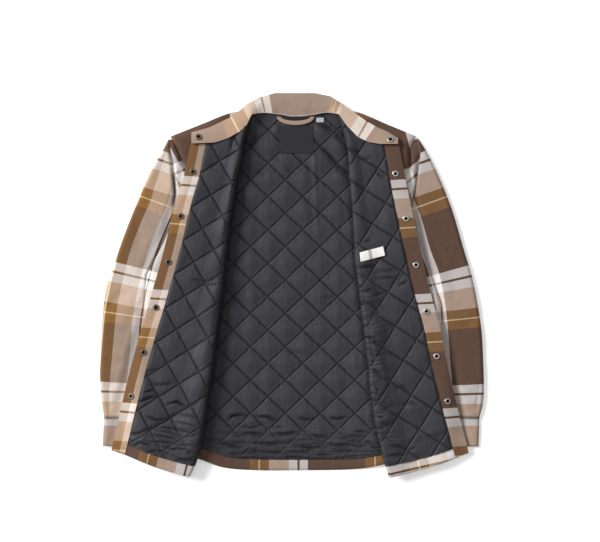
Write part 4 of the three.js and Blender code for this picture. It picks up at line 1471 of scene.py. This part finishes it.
@dataclass
class Back:
    """The back and its quilted lining."""

    columns: int = 90
    rows: int = 110
    lining_columns: int = 160

    def shell(self) -> bpy.types.Object:
        """Returns the plaid back with its turned-up hem.

        Returns:
            The piece.
        """
        plan = back_plan(0)

        def place(u: Array, v: Array) -> Array:
            """Returns millimetre points of the middle of the cloth."""
            length, folded = hem_parts(v)
            p = plan(u, length)
            z = floor_rise(p[:, 0], p[:, 1]) + FLANNEL / 2 + folded * (FLANNEL + SEAM_GAP)
            return np.column_stack([p, z])

        def pattern(u: Array, v: Array) -> Array:
            """Returns millimetre coordinates of the cloth's pattern."""
            p = plan(u, hem_parts(v)[0])
            return p - np.array(BACK_PLAID) + np.array([0.0, BROWN_END])

        return Cloth("back_flannel", even(self.columns), hem_rows(self.rows), place, pattern, FLANNEL_SHEET).build()

    def lining(self) -> bpy.types.Object:
        """Returns the quilted lining, flatter where the fronts and the label lie on it.

        Returns:
            The piece.
        """
        plan = back_plan(LINING_INSET)

        def place(u: Array, v: Array) -> Array:
            """Returns millimetre points of the middle of the cloth."""
            p = plan(u, v * HEM_SHARE)
            x, y = p[:, 0], p[:, 1]
            base = floor_rise(x, y) + BACK_LINING_BOTTOM + 0.7 * ease(60, TUCK_START, np.abs(x))
            free = ease(6, 42, x - RIGHT.fold_x(y)) * ease(0, 14, LEFT.fold_x(y) - x) * (1 - ease(325, 345, y))
            label = ease(52, 40, x) * ease(-36, -26, x) * ease(268, 280, y)
            high = (QUILT_RISE + FULLER * free * (1 - label)) * mix(0.45, 1.0, ease(-345, -275, y))
            quilt = high * tent(x - BACK_QUILT_START[0], y - BACK_QUILT_START[1])
            soft = ripples(x, y, [(46, 8, 0.4), (61, -12, 2.1), (83, 74, 1.0)]) * 0.5 * free * (1 - label)
            folds = creased(x, y, BACK_LINING_CREASES) * free
            z = base + LINING / 2 + np.maximum(quilt + soft + folds, 0)
            return np.column_stack([p, z])

        def pattern(u: Array, v: Array) -> Array:
            """Returns millimetre coordinates of the cloth's pattern."""
            return plan(u, v * HEM_SHARE) - np.array(BACK_QUILT_START)

        def hollow(u: Array, v: Array) -> Array:
            """Returns the painted shade in the valleys beside both folds and in the creases, from 0 to 1."""
            x, y = plan(u, v * HEM_SHARE).T
            # Painted shade in the valleys beside the folds, and in the creases
            valley = 0.75 * (1 - ease(2, 46, x - RIGHT.fold_x(y))) + 0.9 * (1 - ease(8, 25, LEFT.fold_x(y) - x))
            return valley * (1 - ease(325, 350, y)) - creased(x, y, BACK_LINING_CREASES) / 4.5

        def gather(u: Array, v: Array) -> Array:
            """Returns how gathered the cloth is."""
            x, y = plan(u, v * HEM_SHARE).T
            return (1 - ease(-342, -285, y)) + 0.35 * (1 - ease(0, 30, LEFT.fold_x(y) - x)) * (1 - ease(-60, 40, y))

        columns = even(self.lining_columns)
        rows = np.concatenate([even(150, 0, 0.8), even(100, 0.802, 1)])
        marks = {PAINTED_SHADE: hollow, GATHER: gather}
        return Cloth("back_quilting", columns, rows, place, pattern, LINING_SHEET, marks).build()

    def build(self, plaid: bpy.types.Material, nylon: bpy.types.Material) -> None:
        """Makes and declares both pieces.

        Args:
            plaid: Material of the flannel.
            nylon: Material of the lining.
        """
        shell = self.shell()
        dress(shell, plaid, ["back"])
        lining = self.lining()
        dress(lining, nylon, ["back_lining"])


@dataclass
class Front:
    """One front: the plaid shell folded back on itself, its quilted lining and its facing strip."""

    side: Side

    def shell(self) -> bpy.types.Object:
        """Returns the plaid front: the under layer, the rolled fold and the turned-back layer.

        Returns:
            The piece.
        """
        side = self.side
        step = FLANNEL + SEAM_GAP

        def place(u: Array, v: Array) -> Array:
            """Returns millimetre points of the middle of the cloth."""
            length, folded = hem_parts(v)
            lift = folded * step
            under = side.lower(np.clip(u, 0, 1), length)
            rise = floor_rise(under[:, 0], under[:, 1])
            high = rise + LOWER_SHELL_BOTTOM + FLANNEL / 2
            sewn = rise + FLANNEL * 1.5 + SEAM_GAP + 2 * step * ease(0.86, 15 / 16, length)
            from_side = np.linalg.norm(under - side.lower(0 * u, length), axis=1)
            from_top = np.linalg.norm(under - side.lower(np.clip(u, 0, 1), 0 * v), axis=1)
            from_top = from_top + LINING_INSET * ease(0.45, 0.8, u)
            z = mix(sewn, high, np.minimum(seam_round(from_side), seam_round(from_top))) - lift
            z = z + np.minimum(creased(under[:, 0], under[:, 1], side.lower_creases), 0)
            first = np.column_stack([under, z])
            full = side.fold_lift(length)
            roll = side.rolled(length, np.clip(u - 1, 0, 1), ROLL_RADIUS + lift + full / 2)
            over = side.turned_at(np.clip(u - 2, 0, 2), length)
            fade = full * (1 - ease(0, PUFF_REACH, u - 2))
            last = np.column_stack([over, side.bed(over[:, 0], over[:, 1]) + FLANNEL / 2 + lift + fade])
            return by_layer(u, first, roll, last)

        def pattern(u: Array, v: Array) -> Array:
            """Returns millimetre coordinates of the cloth's pattern."""
            length, _ = hem_parts(v)
            point = side.lower(np.clip(u, 0, 1), length)
            beside = (point[:, 1] < side.cap_line[-1][1] + 20)[:, None]
            under = np.where(beside, side.sleeve_pattern(point), side.lower_pattern(point))
            over = side.turned_pattern(side.turned_at(np.clip(u - 2, 0, 2), length))
            around = side.turned_pattern(side.roll_line(length))
            around[:, 0] -= (2 - np.clip(u, 1, 2)) * np.pi * ROLL_RADIUS
            return by_layer(u, under, around, over)

        columns = np.concatenate([even(36), even(10, 1.05, 1.95), even(44, 2, 4)])
        return Cloth(
            f"front_flannel_{side.name}", columns, hem_rows(120), place, pattern, FLANNEL_SHEET
        ).build()

    def lining(self) -> bpy.types.Object:
        """Returns the quilted lining from under the front, round its fold and over it.

        Returns:
            The piece.
        """
        side = self.side
        inner = ROLL_RADIUS + FLANNEL / 2 + SEAM_GAP

        def quilt(point: Array, free: Array) -> Array:
            """Returns how high the quilting stands, fuller where nothing lies on it."""
            local = side.turned_quilt(point)
            x, y = point[:, 0], point[:, 1]
            soft = ripples(local[:, 0], local[:, 1], [(52, 10, 0.0), (37, -16, 1.3), (90, 80, 2.0)]) * 0.45
            folds = creased(x, y, side.lining_creases) * free
            high = (QUILT_RISE + FULLER * free) * mix(0.6, 1.0, ease(-345, -265, y))
            return np.maximum(high * pillow(*local.T) + soft * free + folds, 0)

        def place(u: Array, v: Array) -> Array:
            """Returns millimetre points of the middle of the cloth."""
            length = v * HEM_SHARE
            under = side.lower_lining(np.clip(u, 0, 1), length)
            low = floor_rise(under[:, 0], under[:, 1]) + LOWER_LINING_BOTTOM + LINING / 2
            first = np.column_stack([under, low])
            turn = np.clip(u - 1, 0, 1)
            full = side.fold_lift(length)
            radius = inner + LINING / 2 + turn * quilt(side.roll_line(length), 0.6 + 0 * u) + full / 2
            roll = side.rolled(length, turn, radius)
            share = np.clip(u - 2, 0, 1)
            over = side.turned_at(share, length)
            shown = 0.6 + 0.4 * ease(0, 0.1, share)
            edge = ease(0, 0.04, 1 - share)
            top = side.bed(over[:, 0], over[:, 1]) + FLANNEL + SEAM_GAP + LINING / 2
            top = top + full * (1 - ease(0, PUFF_REACH, share))
            last = np.column_stack([over, top + quilt(over, shown) * mix(0.2, 1.0, edge)])
            return by_layer(u, first, roll, last)

        def pattern(u: Array, v: Array) -> Array:
            """Returns millimetre coordinates of the cloth's pattern."""
            length = v * HEM_SHARE
            under = side.turned_quilt(side.lower_lining(np.clip(u, 0, 1), length))
            around = side.turned_quilt(side.roll_line(length))
            around[:, 0] -= side.out * (2 - np.clip(u, 1, 2)) * np.pi * inner
            over = side.turned_quilt(side.turned_at(np.clip(u - 2, 0, 1), length))
            return by_layer(u, under, around, over)

        def gather(u: Array, v: Array) -> Array:
            """Returns how gathered the cloth is."""
            x, y = side.turned_at(np.clip(u - 2, 0, 1), v * HEM_SHARE).T
            by_fold = side.fold_gather * (1 - ease(18, 58, np.abs(x - side.fold_x(y)))) * (1 - ease(-20, 120, y))
            return np.maximum(by_fold, side.hem_gather * (1 - ease(-350, -285, y)))

        def hollow(u: Array, v: Array) -> Array:
            """Returns the painted shade on the roll, on the far side of the fold, along the facing's seam and in the
            creases, from 0 to 1.
            """
            over = side.turned_at(np.clip(u - 2, 0, 1), v * HEM_SHARE)
            share = u - 2
            # Painted shade: the roll and the far side of the fold are darkened
            rolled = 0.75 * (1 - ease(-0.5, -0.08, share))
            reach = mix(0.42, 0.2, ease(0.45, 0.7, v))
            shaded = np.maximum(rolled, side.fold_shade * (1 - ease(-0.1, reach, share)))
            # Painted shadow of the facing's seam along the lining's outer edge
            shaded = shaded + 0.5 * ease(0.955, 0.99, share)
            return np.where(u < 1, 0.0, shaded - creased(over[:, 0], over[:, 1], side.lining_creases) / 4.0)

        columns = np.concatenate([even(14), even(9, 1.06, 1.94), even(56, 2, 2.997)])
        rows = np.concatenate([even(160, 0, 0.8), even(90, 0.802, 1)])
        return Cloth(
            f"front_quilting_{side.name}", columns, rows, place, pattern, LINING_SHEET,
            {PAINTED_SHADE: hollow, GATHER: gather},
        ).build()

    def facing(self) -> bpy.types.Object:
        """Returns the plaid strip that carries the snaps.

        Returns:
            The piece.
        """
        side = self.side
        across, first, last = side.strip_plaid

        def plan(u: Array, v: Array) -> Array:
            """Returns plan points."""
            return side.turned_at(1 + u, v * 0.999)

        def place(u: Array, v: Array) -> Array:
            """Returns millimetre points of the middle of the cloth."""
            p = plan(u, v)
            crown = 0.5 * np.sin(np.pi * u) ** 0.5 + (FLANNEL + SEAM_GAP) * ease(0.925, 0.965, v)
            level = side.bed(p[:, 0], p[:, 1]) + FLANNEL * 1.5 + SEAM_GAP + crown
            return np.column_stack([p, level])

        def pattern(u: Array, v: Array) -> Array:
            """Returns millimetre coordinates of the cloth's pattern."""
            p = plan(u, v)
            left = u if side.out > 0 else 1 - u
            scale = 2 * REPEAT / (first - last)
            along = DARK_LINE + (p[:, 1] - first) * scale
            slant = math.tan(math.radians(side.grain)) * (left - 0.5) * FACING_WIDTH * 0.3
            return np.column_stack([across + left * FACING_WIDTH, along - slant])

        return Cloth(
            f"facing_strip_{side.name}", even(10), even(170), place, pattern, FLANNEL_SHEET
        ).build()

    def build(self, plaid: bpy.types.Material, nylon: bpy.types.Material) -> None:
        """Args:
            plaid: Material of the flannel.
            nylon: Material of the lining.
        """
        name = self.side.name
        shell = self.shell()
        dress(shell, plaid, [f"front_{name}"])
        lining = self.lining()
        dress(lining, nylon, [f"lining_{name}"])
        strip = self.facing()
        dress(strip, plaid, [f"facing_{name}"])


@dataclass
class Sleeve:
    """One sleeve and its cuff, lying flat beside and under the body."""

    side: Side
    puff: float = 5.0

    def _tube(
        self, name: str, first: PlanCurve, second: PlanCurve, rows: Array,
        top: Callable[[Array, Array], Array], pattern: Callable[[Array], Array],
        hollow: Callable[[Array, Array], Array], thick: float,
    ) -> bpy.types.Object:
        """Returns a flattened tube between two edges.

        Args:
            name: The piece's name.
            first: Its outer edge.
            second: Its inner edge.
            rows: Shares along at which it has points.
            top: Height of its upper side, from plan points and the share along.
            pattern: Pattern coordinates from plan points.
            hollow: Painted shade of its upper side, from plan points and the share along.
            thick: Thickness of its cloth.
        """

        def plan(u: Array, v: Array) -> Array:
            """Returns plan points."""
            return mix(first(v), second(v), (1 - np.cos(2 * np.pi * u))[:, None] / 2)

        def place(u: Array, v: Array) -> Array:
            """Returns millimetre points of the middle of the cloth."""
            p = plan(u, v)
            a, b = first(v), second(v)
            width = np.linalg.norm(b - a, axis=1)
            share = (1 - np.cos(2 * np.pi * u)) / 2
            from_edge = np.minimum(share, 1 - share) * width
            bulge = np.sqrt(1 - (1 - np.clip(from_edge / 7.0, 0, 1)) ** 2)
            high = top(p, v)
            middle = SLEEVE_THICK / 2
            above = middle + (high - thick / 2 - middle) * bulge
            below = middle + (thick / 2 - middle) * bulge
            return np.column_stack([p, np.where(u <= 0.5, above, below)])

        even_share = np.arccos(1 - 2 * even(52)) / (2 * np.pi)
        columns = np.concatenate([even_share, 1 - even_share[-2::-1]])
        cloth = Cloth(
            name, columns, rows, place, lambda u, v: pattern(plan(u, v)), thick,
            {PAINTED_SHADE: lambda u, v: np.where(u <= 0.5, hollow(plan(u, v), v), 0.0)}, closed=True,
        )
        return cloth.build()

    def build(self, plaid: bpy.types.Material) -> None:
        """Args:
            plaid: Material of the flannel.
        """
        side = self.side
        clear = lambda t: (side.out * ARMHOLE_GAP * (1 - t), 0)
        outer = moved(curve_through(side.sleeve_outer), clear)
        seam = moved(side.armhole_curve, lambda t: (side.out * ARMHOLE_GAP, 0))
        inner = joined(seam, moved(curve_through(side.sleeve_inner), clear), 0.5)

        def top(p: Array, v: Array) -> Array:
            """Returns the height of the sleeve's upper side."""
            beyond = side.beyond_edge(p)
            free = ease(3, 24, beyond) * ease(0, 0.05, v) * mix(1.0, 0.7, ease(0.9, 1, v))
            folds = creased(p[:, 0], p[:, 1], side.sleeve_creases) * free
            folds = folds + creased(p[:, 0], p[:, 1], side.sleeve_gaps)
            soft = ripples(p[:, 0], p[:, 1], [(95, 30, 0.5), (140, 100, 1.0), (64, 65, 2.0)]) * 0.7
            return SLEEVE_THICK + np.maximum((self.puff + soft) * free + folds, -3.0)

        def hollow(p: Array, v: Array) -> Array:
            """Returns the painted shade by the cuff's seam and in the gaps beside the body, from 0 to 1."""
            seam_line = 0.8 * ease(0.988, 0.999, v)
            return seam_line - creased(p[:, 0], p[:, 1], side.sleeve_gaps) / 4.0

        tube = self._tube(
            f"sleeve_flannel_{side.name}", outer, inner, even(170, 0.011, 1), top, side.sleeve_pattern, hollow, 1.5
        )
        dress(tube, plaid, [f"sleeve_{side.name}"])

        start = moved(curve_through(side.cuff_outer), lambda t: (0, -SEAM_GAP))
        end = moved(curve_through(side.cuff_inner), lambda t: (0, -SEAM_GAP))

        def cuff_top(p: Array, v: Array) -> Array:
            """Returns the height of the cuff's upper side."""
            beyond = side.beyond_edge(p)
            return CUFF_THICK + 1.8 * ease(3, 18, beyond) * np.sin(np.pi * np.clip(v, 0.08, 0.92)) ** 0.4

        def cuff_painted_shade(p: Array, v: Array) -> Array:
            """Returns the painted shade along the cuff's seams, from 0 to 1."""
            return 0.7 * (1 - ease(0.01, 0.06, v)) + 0.25 * ease(0.94, 0.99, v)

        def cuff_pattern(p: Array) -> Array:
            """Returns millimetre coordinates of the cuff's plaid."""
            across, along = side.cuff_plaid
            left = np.minimum(start(np.zeros(1))[0, 0], end(np.zeros(1))[0, 0])
            return np.column_stack([across + p[:, 0] - left, along + p[:, 1] + CUFF_SEAM])

        cuff = self._tube(
            f"cuff_flannel_{side.name}", start, end, even(24), cuff_top, cuff_pattern, cuff_painted_shade, 2.2
        )
        dress(cuff, plaid, [f"cuff_{side.name}"])


@dataclass
class Collar:
    """The band collar, inner side up."""

    columns: int = 150
    rows: int = 14

    @staticmethod
    def point(s: Array, t: Array, level: float) -> Array:
        """Returns a point of the collar.

        Args:
            s: Station along the collar.
            t: Share from the neck seam to the free edge.
            level: Height above the collar's underside.

        Returns:
            Millimetre points.
        """
        table = np.array(COLLAR_STATIONS, float)
        table[:, 2] += floor_rise(table[:, 0], table[:, 1])
        table[:, 5] += floor_rise(table[:, 3], table[:, 4])
        k = np.minimum(s.astype(int), len(table) - 2)
        station = mix(table[k], table[k + 1], (s - k)[:, None])
        near, far = station[:, :3], station[:, 3:]
        made = mix(near, far, t[:, None])
        made[:, 2] += COLLAR_CROWN * np.sin(np.pi * t) + level
        return made

    def build(self, plaid: bpy.types.Material) -> None:
        """Args:
            plaid: Material of the flannel.
        """
        last = len(COLLAR_STATIONS) - 1
        # Plan x of the middle of the collar, and the warp there
        known = [(-211, 45), (-141, 120), (-120, 140.5), (-97, 161), (-76, 203), (-61.5, 223), (-45, 243),
                 (80, 363), (88, 383.5), (96, 404), (130, 446), (147, 466), (163, 486), (221, 546)]

        def place(u: Array, v: Array) -> Array:
            """Returns millimetre points of the middle of the cloth."""
            p = self.point(u * last, v, COLLAR_THICK / 2)
            wave = ripples(p[:, 0], p[:, 1], [(70, 20, 0.0), (41, -30, 2.0)]) * 0.35 * np.sin(np.pi * v)
            p[:, 2] += wave
            return p

        def pattern(u: Array, v: Array) -> Array:
            """Returns millimetre coordinates of the cloth's pattern."""
            middle = self.point(u * last, 0 * v + 0.5, 0)[:, 0]
            xs, warp = zip(*known)
            return np.column_stack([np.interp(middle, xs, warp), 166 + 34 * v])

        piece = Cloth("collar_flannel", even(self.columns), even(self.rows), place, pattern, COLLAR_THICK - 0.2)
        made = piece.build()
        dress(made, plaid, ["collar"])


@dataclass
class NeckTrims:
    """The tape, loop, bare label and bare tab at the back neck."""

    crest: float = 6.6

    def _flat(self, name: str, left: float, right: float, low: float, high: float, z: float, thick: float) -> Any:
        """Returns a flat piece over a rectangle of plan, with a slight wave.

        Args:
            name: Name of the piece.
            left: Lowest x.
            right: Highest x.
            low: Lowest y.
            high: Highest y.
            z: Its level.
            thick: Its thickness.

        Returns:
            The piece.
        """

        def place(u: Array, v: Array) -> Array:
            """Returns millimetre points of the middle of the cloth."""
            x, y = mix(left, right, u), mix(high, low, v)
            wave = 0.12 * np.sin(x / 9) * np.sin(np.pi * u)
            return np.column_stack([x, y, z + thick / 2 + wave])

        def pattern(u: Array, v: Array) -> Array:
            """Returns millimetre coordinates of the cloth's pattern."""
            return np.column_stack([u * (right - left), (1 - v) * (high - low)])

        return Cloth(name, even(24), even(12), place, pattern, thick).build()

    def build(self) -> None:
        # The tape's near-black is partly its own dark colour and partly painted shade of the neck seam
        dark = PlainWeave("dark_tape", (34, 33, 36)).make()
        tape = self._flat("neck_tape_ribbon", -26, 40, 344, 353, self.crest, 0.6)
        dress(tape, dark, ["neck_tape"])
        label = self._flat("neck_label_patch", -26, 44, 277, 334, self.crest, 0.7)
        satin = PlainWeave("label_satin", (35, 35, 39), 0.0006, 0.6).make()
        dress(label, satin, ["neck_label"])
        tab = self._flat("size_tab_ribbon", 50, 66, 341.5, 351, self.crest - 0.8, 0.6)
        dress(tab, PlainWeave("pale_tape", (176, 182, 190)).make(), ["size_tab"])
        self._loop()

    def _loop(self) -> None:
        """Makes the hanging loop, a flat band bowed down from the neck seam."""
        x, y, wide, deep, band = 7.0, 353.0, 35.0, 13.0, 8.5
        level = self.crest + 1.0

        def place(u: Array, v: Array) -> Array:
            """Returns millimetre points of the middle of the cloth."""
            angle = np.pi * u
            away = band * (0.5 - v)
            crown = 0.35 * np.sin(np.pi * v)
            return np.column_stack([
                x - (wide + away) * np.cos(angle), y - (deep + away) * np.sin(angle), level + 1.0 + crown,
            ])

        def pattern(u: Array, v: Array) -> Array:
            """Returns millimetre coordinates of the cloth's pattern."""
            return np.column_stack([v * band, u * 90])

        loop = Cloth("hanging_loop_strap", even(60), even(6), place, pattern, 1.6).build()
        dress(loop, PlainWeave("strap_tan", (166, 138, 120), 0.0011, 0.85).make(), ["hanging_loop"])


@dataclass
class PocketWelt:
    """The welt of the inner pocket on the wearer's left front.

    Attributes:
        corners: Plan points of its corners.
        fade_from: Place across, from which the fold's fullness fades under it.
        fade_width: Distance of which PUFF_REACH is the share it fades over.
    """

    corners: Points = ((141, 68), (190, 81), (194, 62), (143, 49))
    fade_from: float = 139.0
    fade_width: float = 102.0

    def build(self, plaid: bpy.types.Material) -> None:
        """Args:
            plaid: Material of the flannel.
        """
        inner_top, outer_top, outer_low, inner_low = (np.array(c, float) for c in self.corners)
        crest = FLANNEL + SEAM_GAP + LINING + QUILT_RISE + FULLER + SEAM_GAP

        def plan(u: Array, v: Array) -> Array:
            """Returns plan points."""
            upper = mix(inner_top, outer_top, u[:, None])
            return mix(upper, mix(inner_low, outer_low, u[:, None]), v[:, None])

        def place(u: Array, v: Array) -> Array:
            """Returns millimetre points of the middle of the cloth."""
            p = plan(u, v)
            crown = 0.7 * (np.sin(np.pi * u) * np.sin(np.pi * v)) ** 0.5
            lift = LEFT.puff * (1 - ease(0, PUFF_REACH, (p[:, 0] - self.fade_from) / self.fade_width))
            return np.column_stack([p, LEFT.bed(p[:, 0], p[:, 1]) + crest + lift + crown])

        def pattern(u: Array, v: Array) -> Array:
            """Returns millimetre coordinates of the cloth's pattern."""
            return np.column_stack([209 + u * 34, 240 - v * 14])

        welt = Cloth("pocket_welt_band", even(30), even(12), place, pattern, 1.7).build()
        dress(welt, plaid, ["pocket_welt"])


@dataclass
class Snaps:
    """The ring snaps: one at each end of the collar and six down each facing.

    Attributes:
        radius: Radius in millimetres.
        height: Height in millimetres.
        socket: Reach of the dark socket from the middle, in millimetres.
    """

    radius: float = 6.9
    height: float = 1.9
    socket: float = 3.4

    def _ring(self) -> bpy.types.Object:
        """Returns one snap, lying at the origin: a domed ring around the hollow of its socket.

        Returns:
            The piece.
        """
        deselect_all()
        bpy.ops.mesh.primitive_circle_add(vertices=32, radius=self.radius * MM, fill_type="NGON")
        ring = bpy.context.object
        bpy.ops.object.mode_set(mode="EDIT")
        bpy.ops.mesh.select_all(action="SELECT")
        # Height, then the share of the radius, of each step from the rim to the hollow's floor
        steps = [(0.7, 1.0), (0.6, 0.965), (0.4, 0.90), (0.2, 0.80), (0.0, 0.62), (-0.15, 0.50),
                 (-0.35, 0.45), (-0.75, 0.41)]
        size = 1.0
        for rise, share in steps:
            bpy.ops.mesh.extrude_region_move(TRANSFORM_OT_translate={"value": (0, 0, rise * MM)})
            factor = share / size
            bpy.ops.transform.resize(value=(factor, factor, 1))
            size = share
        bpy.ops.mesh.inset(thickness=0.9 * MM)
        bpy.ops.object.mode_set(mode="OBJECT")
        return ring

    @staticmethod
    def _collar_level(x: Array, y: Array) -> Array:
        """Returns the level of the collar's ends, which falls towards +Y."""
        return floor_rise(x, y) + 18.0 - 0.35 * (y - 308)

    def _seat(self, node: str, surface: Callable[[Array, Array], Array], x: float, y: float) -> Matrix:
        """Returns where a snap lies: at its node's place, leaning as the surface does.

        Args:
            node: The snap's CAD node.
            surface: Gives the level at plan points.
            x: Place across.
            y: Place along.

        Returns:
            Its place and lean as a matrix.
        """
        low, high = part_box(node)
        centre = (Vector(low) + Vector(high)) / 2
        reach = self.radius
        east, west, north, south = (
            surface(np.array([x + dx]), np.array([y + dy]))[0]
            for dx, dy in ((reach, 0), (-reach, 0), (0, reach), (0, -reach))
        )
        normal = Vector((-(east - west) / (2 * reach), -(north - south) / (2 * reach), 1)).normalized()
        turn = Vector((0, 0, 1)).rotation_difference(normal)
        base = centre - normal * (self.height / 2 * MM)
        return Matrix.Translation(base) @ turn.to_matrix().to_4x4()

    def build(self) -> None:
        """Makes the fourteen snaps from one model."""
        steel = BrushedMetal("snap_steel", (196, 194, 190), 0.24).make()
        # Painted shade: the snaps on the wearer's right take a darker, rougher copy of the steel, for how the light
        # falls on that side
        steel_in_painted_shade = BrushedMetal("snap_steel_painted_shade", (128, 116, 106), 0.42).make()
        dark = BrushedMetal("snap_socket", (22, 21, 22), 0.45).make()
        model = self._ring()
        for side in (RIGHT, LEFT):
            ends = {"right": (-194.0, 309.0), "left": (202.0, 307.0)}
            places = [ends[side.name], *side.snaps]
            for number, (x, y) in enumerate(places):
                node = f"snap_{side.name}_{number}"
                surface = self._collar_level if number == 0 else side.bed
                snap = bpy.data.objects.new(f"ring_{node}", model.data.copy())
                bpy.context.scene.collection.objects.link(snap)
                snap.data.transform(self._seat(node, surface, x, y))
                recalculate(snap)
                shade(snap, 35)
                dress(snap, steel_in_painted_shade if side is RIGHT else steel, [node])
                snap.data.materials.append(dark)
                centre = sum((v.co for v in snap.data.vertices), Vector()) / len(snap.data.vertices)
                for face in snap.data.polygons:
                    if (face.center - centre).length < self.socket * MM:
                        face.material_index = 1
        bpy.data.objects.remove(model)


@dataclass
class Studio:
    """The floor, the lights and the camera.

    Attributes:
        centre: Plan point at the middle of the picture, in metres.
        width: Width of the picture on the floor, in metres.
        distance: Height of the camera above the floor, in metres.
    """

    centre: tuple[float, float] = (0.0163, 0.0294)
    width: float = 1.26
    distance: float = 6.0

    def _soft_sun(self, name: str, direction: tuple[float, float, float], strength: float, spread: float) -> None:
        """Adds an even, soft light from far away, where direction points to it.

        Args:
            name: Name of the light.
            direction: Direction to the light.
            strength: Its strength.
            spread: Its angle, in degrees.
        """
        bpy.ops.object.light_add(type="SUN", location=tuple(4 * part for part in direction))
        light = bpy.context.object
        light.name = name
        light.data.energy = strength
        light.data.angle = math.radians(spread)
        light.rotation_euler = Vector(direction).to_track_quat("Z", "Y").to_euler()

    def build(self) -> None:
        """Sets the studio up."""
        deselect_all()
        bpy.ops.mesh.primitive_plane_add(size=14, location=(0, 0, 0))
        floor = bpy.context.object
        floor.name = "floor"
        floor.data.materials.append(FloorPaint().make())
        self._soft_sun("key_light", (-0.76, 0.34, 0.55), 3.8, 26)
        self._soft_sun("top_light", (0.05, 0.25, 1.0), 0.6, 60)
        world = bpy.data.worlds.new("studio_air")
        bpy.context.scene.world = world
        world.use_nodes = True
        world.node_tree.nodes["Background"].inputs["Color"].default_value = (1, 1, 1, 1)
        world.node_tree.nodes["Background"].inputs["Strength"].default_value = 0.24
        bpy.ops.object.camera_add(location=(*self.centre, self.distance))
        camera = bpy.context.object
        camera.name = "overhead_camera"
        camera.data.sensor_width = 36
        camera.data.lens = 36 * self.distance / self.width
        camera.data.clip_end = 30
        bpy.context.scene.camera = camera
        bpy.context.scene.view_settings.view_transform = "Standard"
        LOG.info("studio: lens %.0f mm", camera.data.lens)


def main() -> None:
    """Builds the garment's pieces in order, then the studio."""
    logging.basicConfig(level=logging.INFO, format="%(message)s")
    plaid = PlaidFlannel("plaid_flannel").make()
    nylon = QuiltedNylon("quilted_nylon").make()
    Back().build(plaid, nylon)
    for side in (RIGHT, LEFT):
        Front(side).build(plaid, nylon)
        Sleeve(side).build(plaid)
    Collar().build(plaid)
    NeckTrims().build()
    PocketWelt().build(plaid)
    Snaps().build()
    Studio().build()


if __name__ == "__main__":
    main()
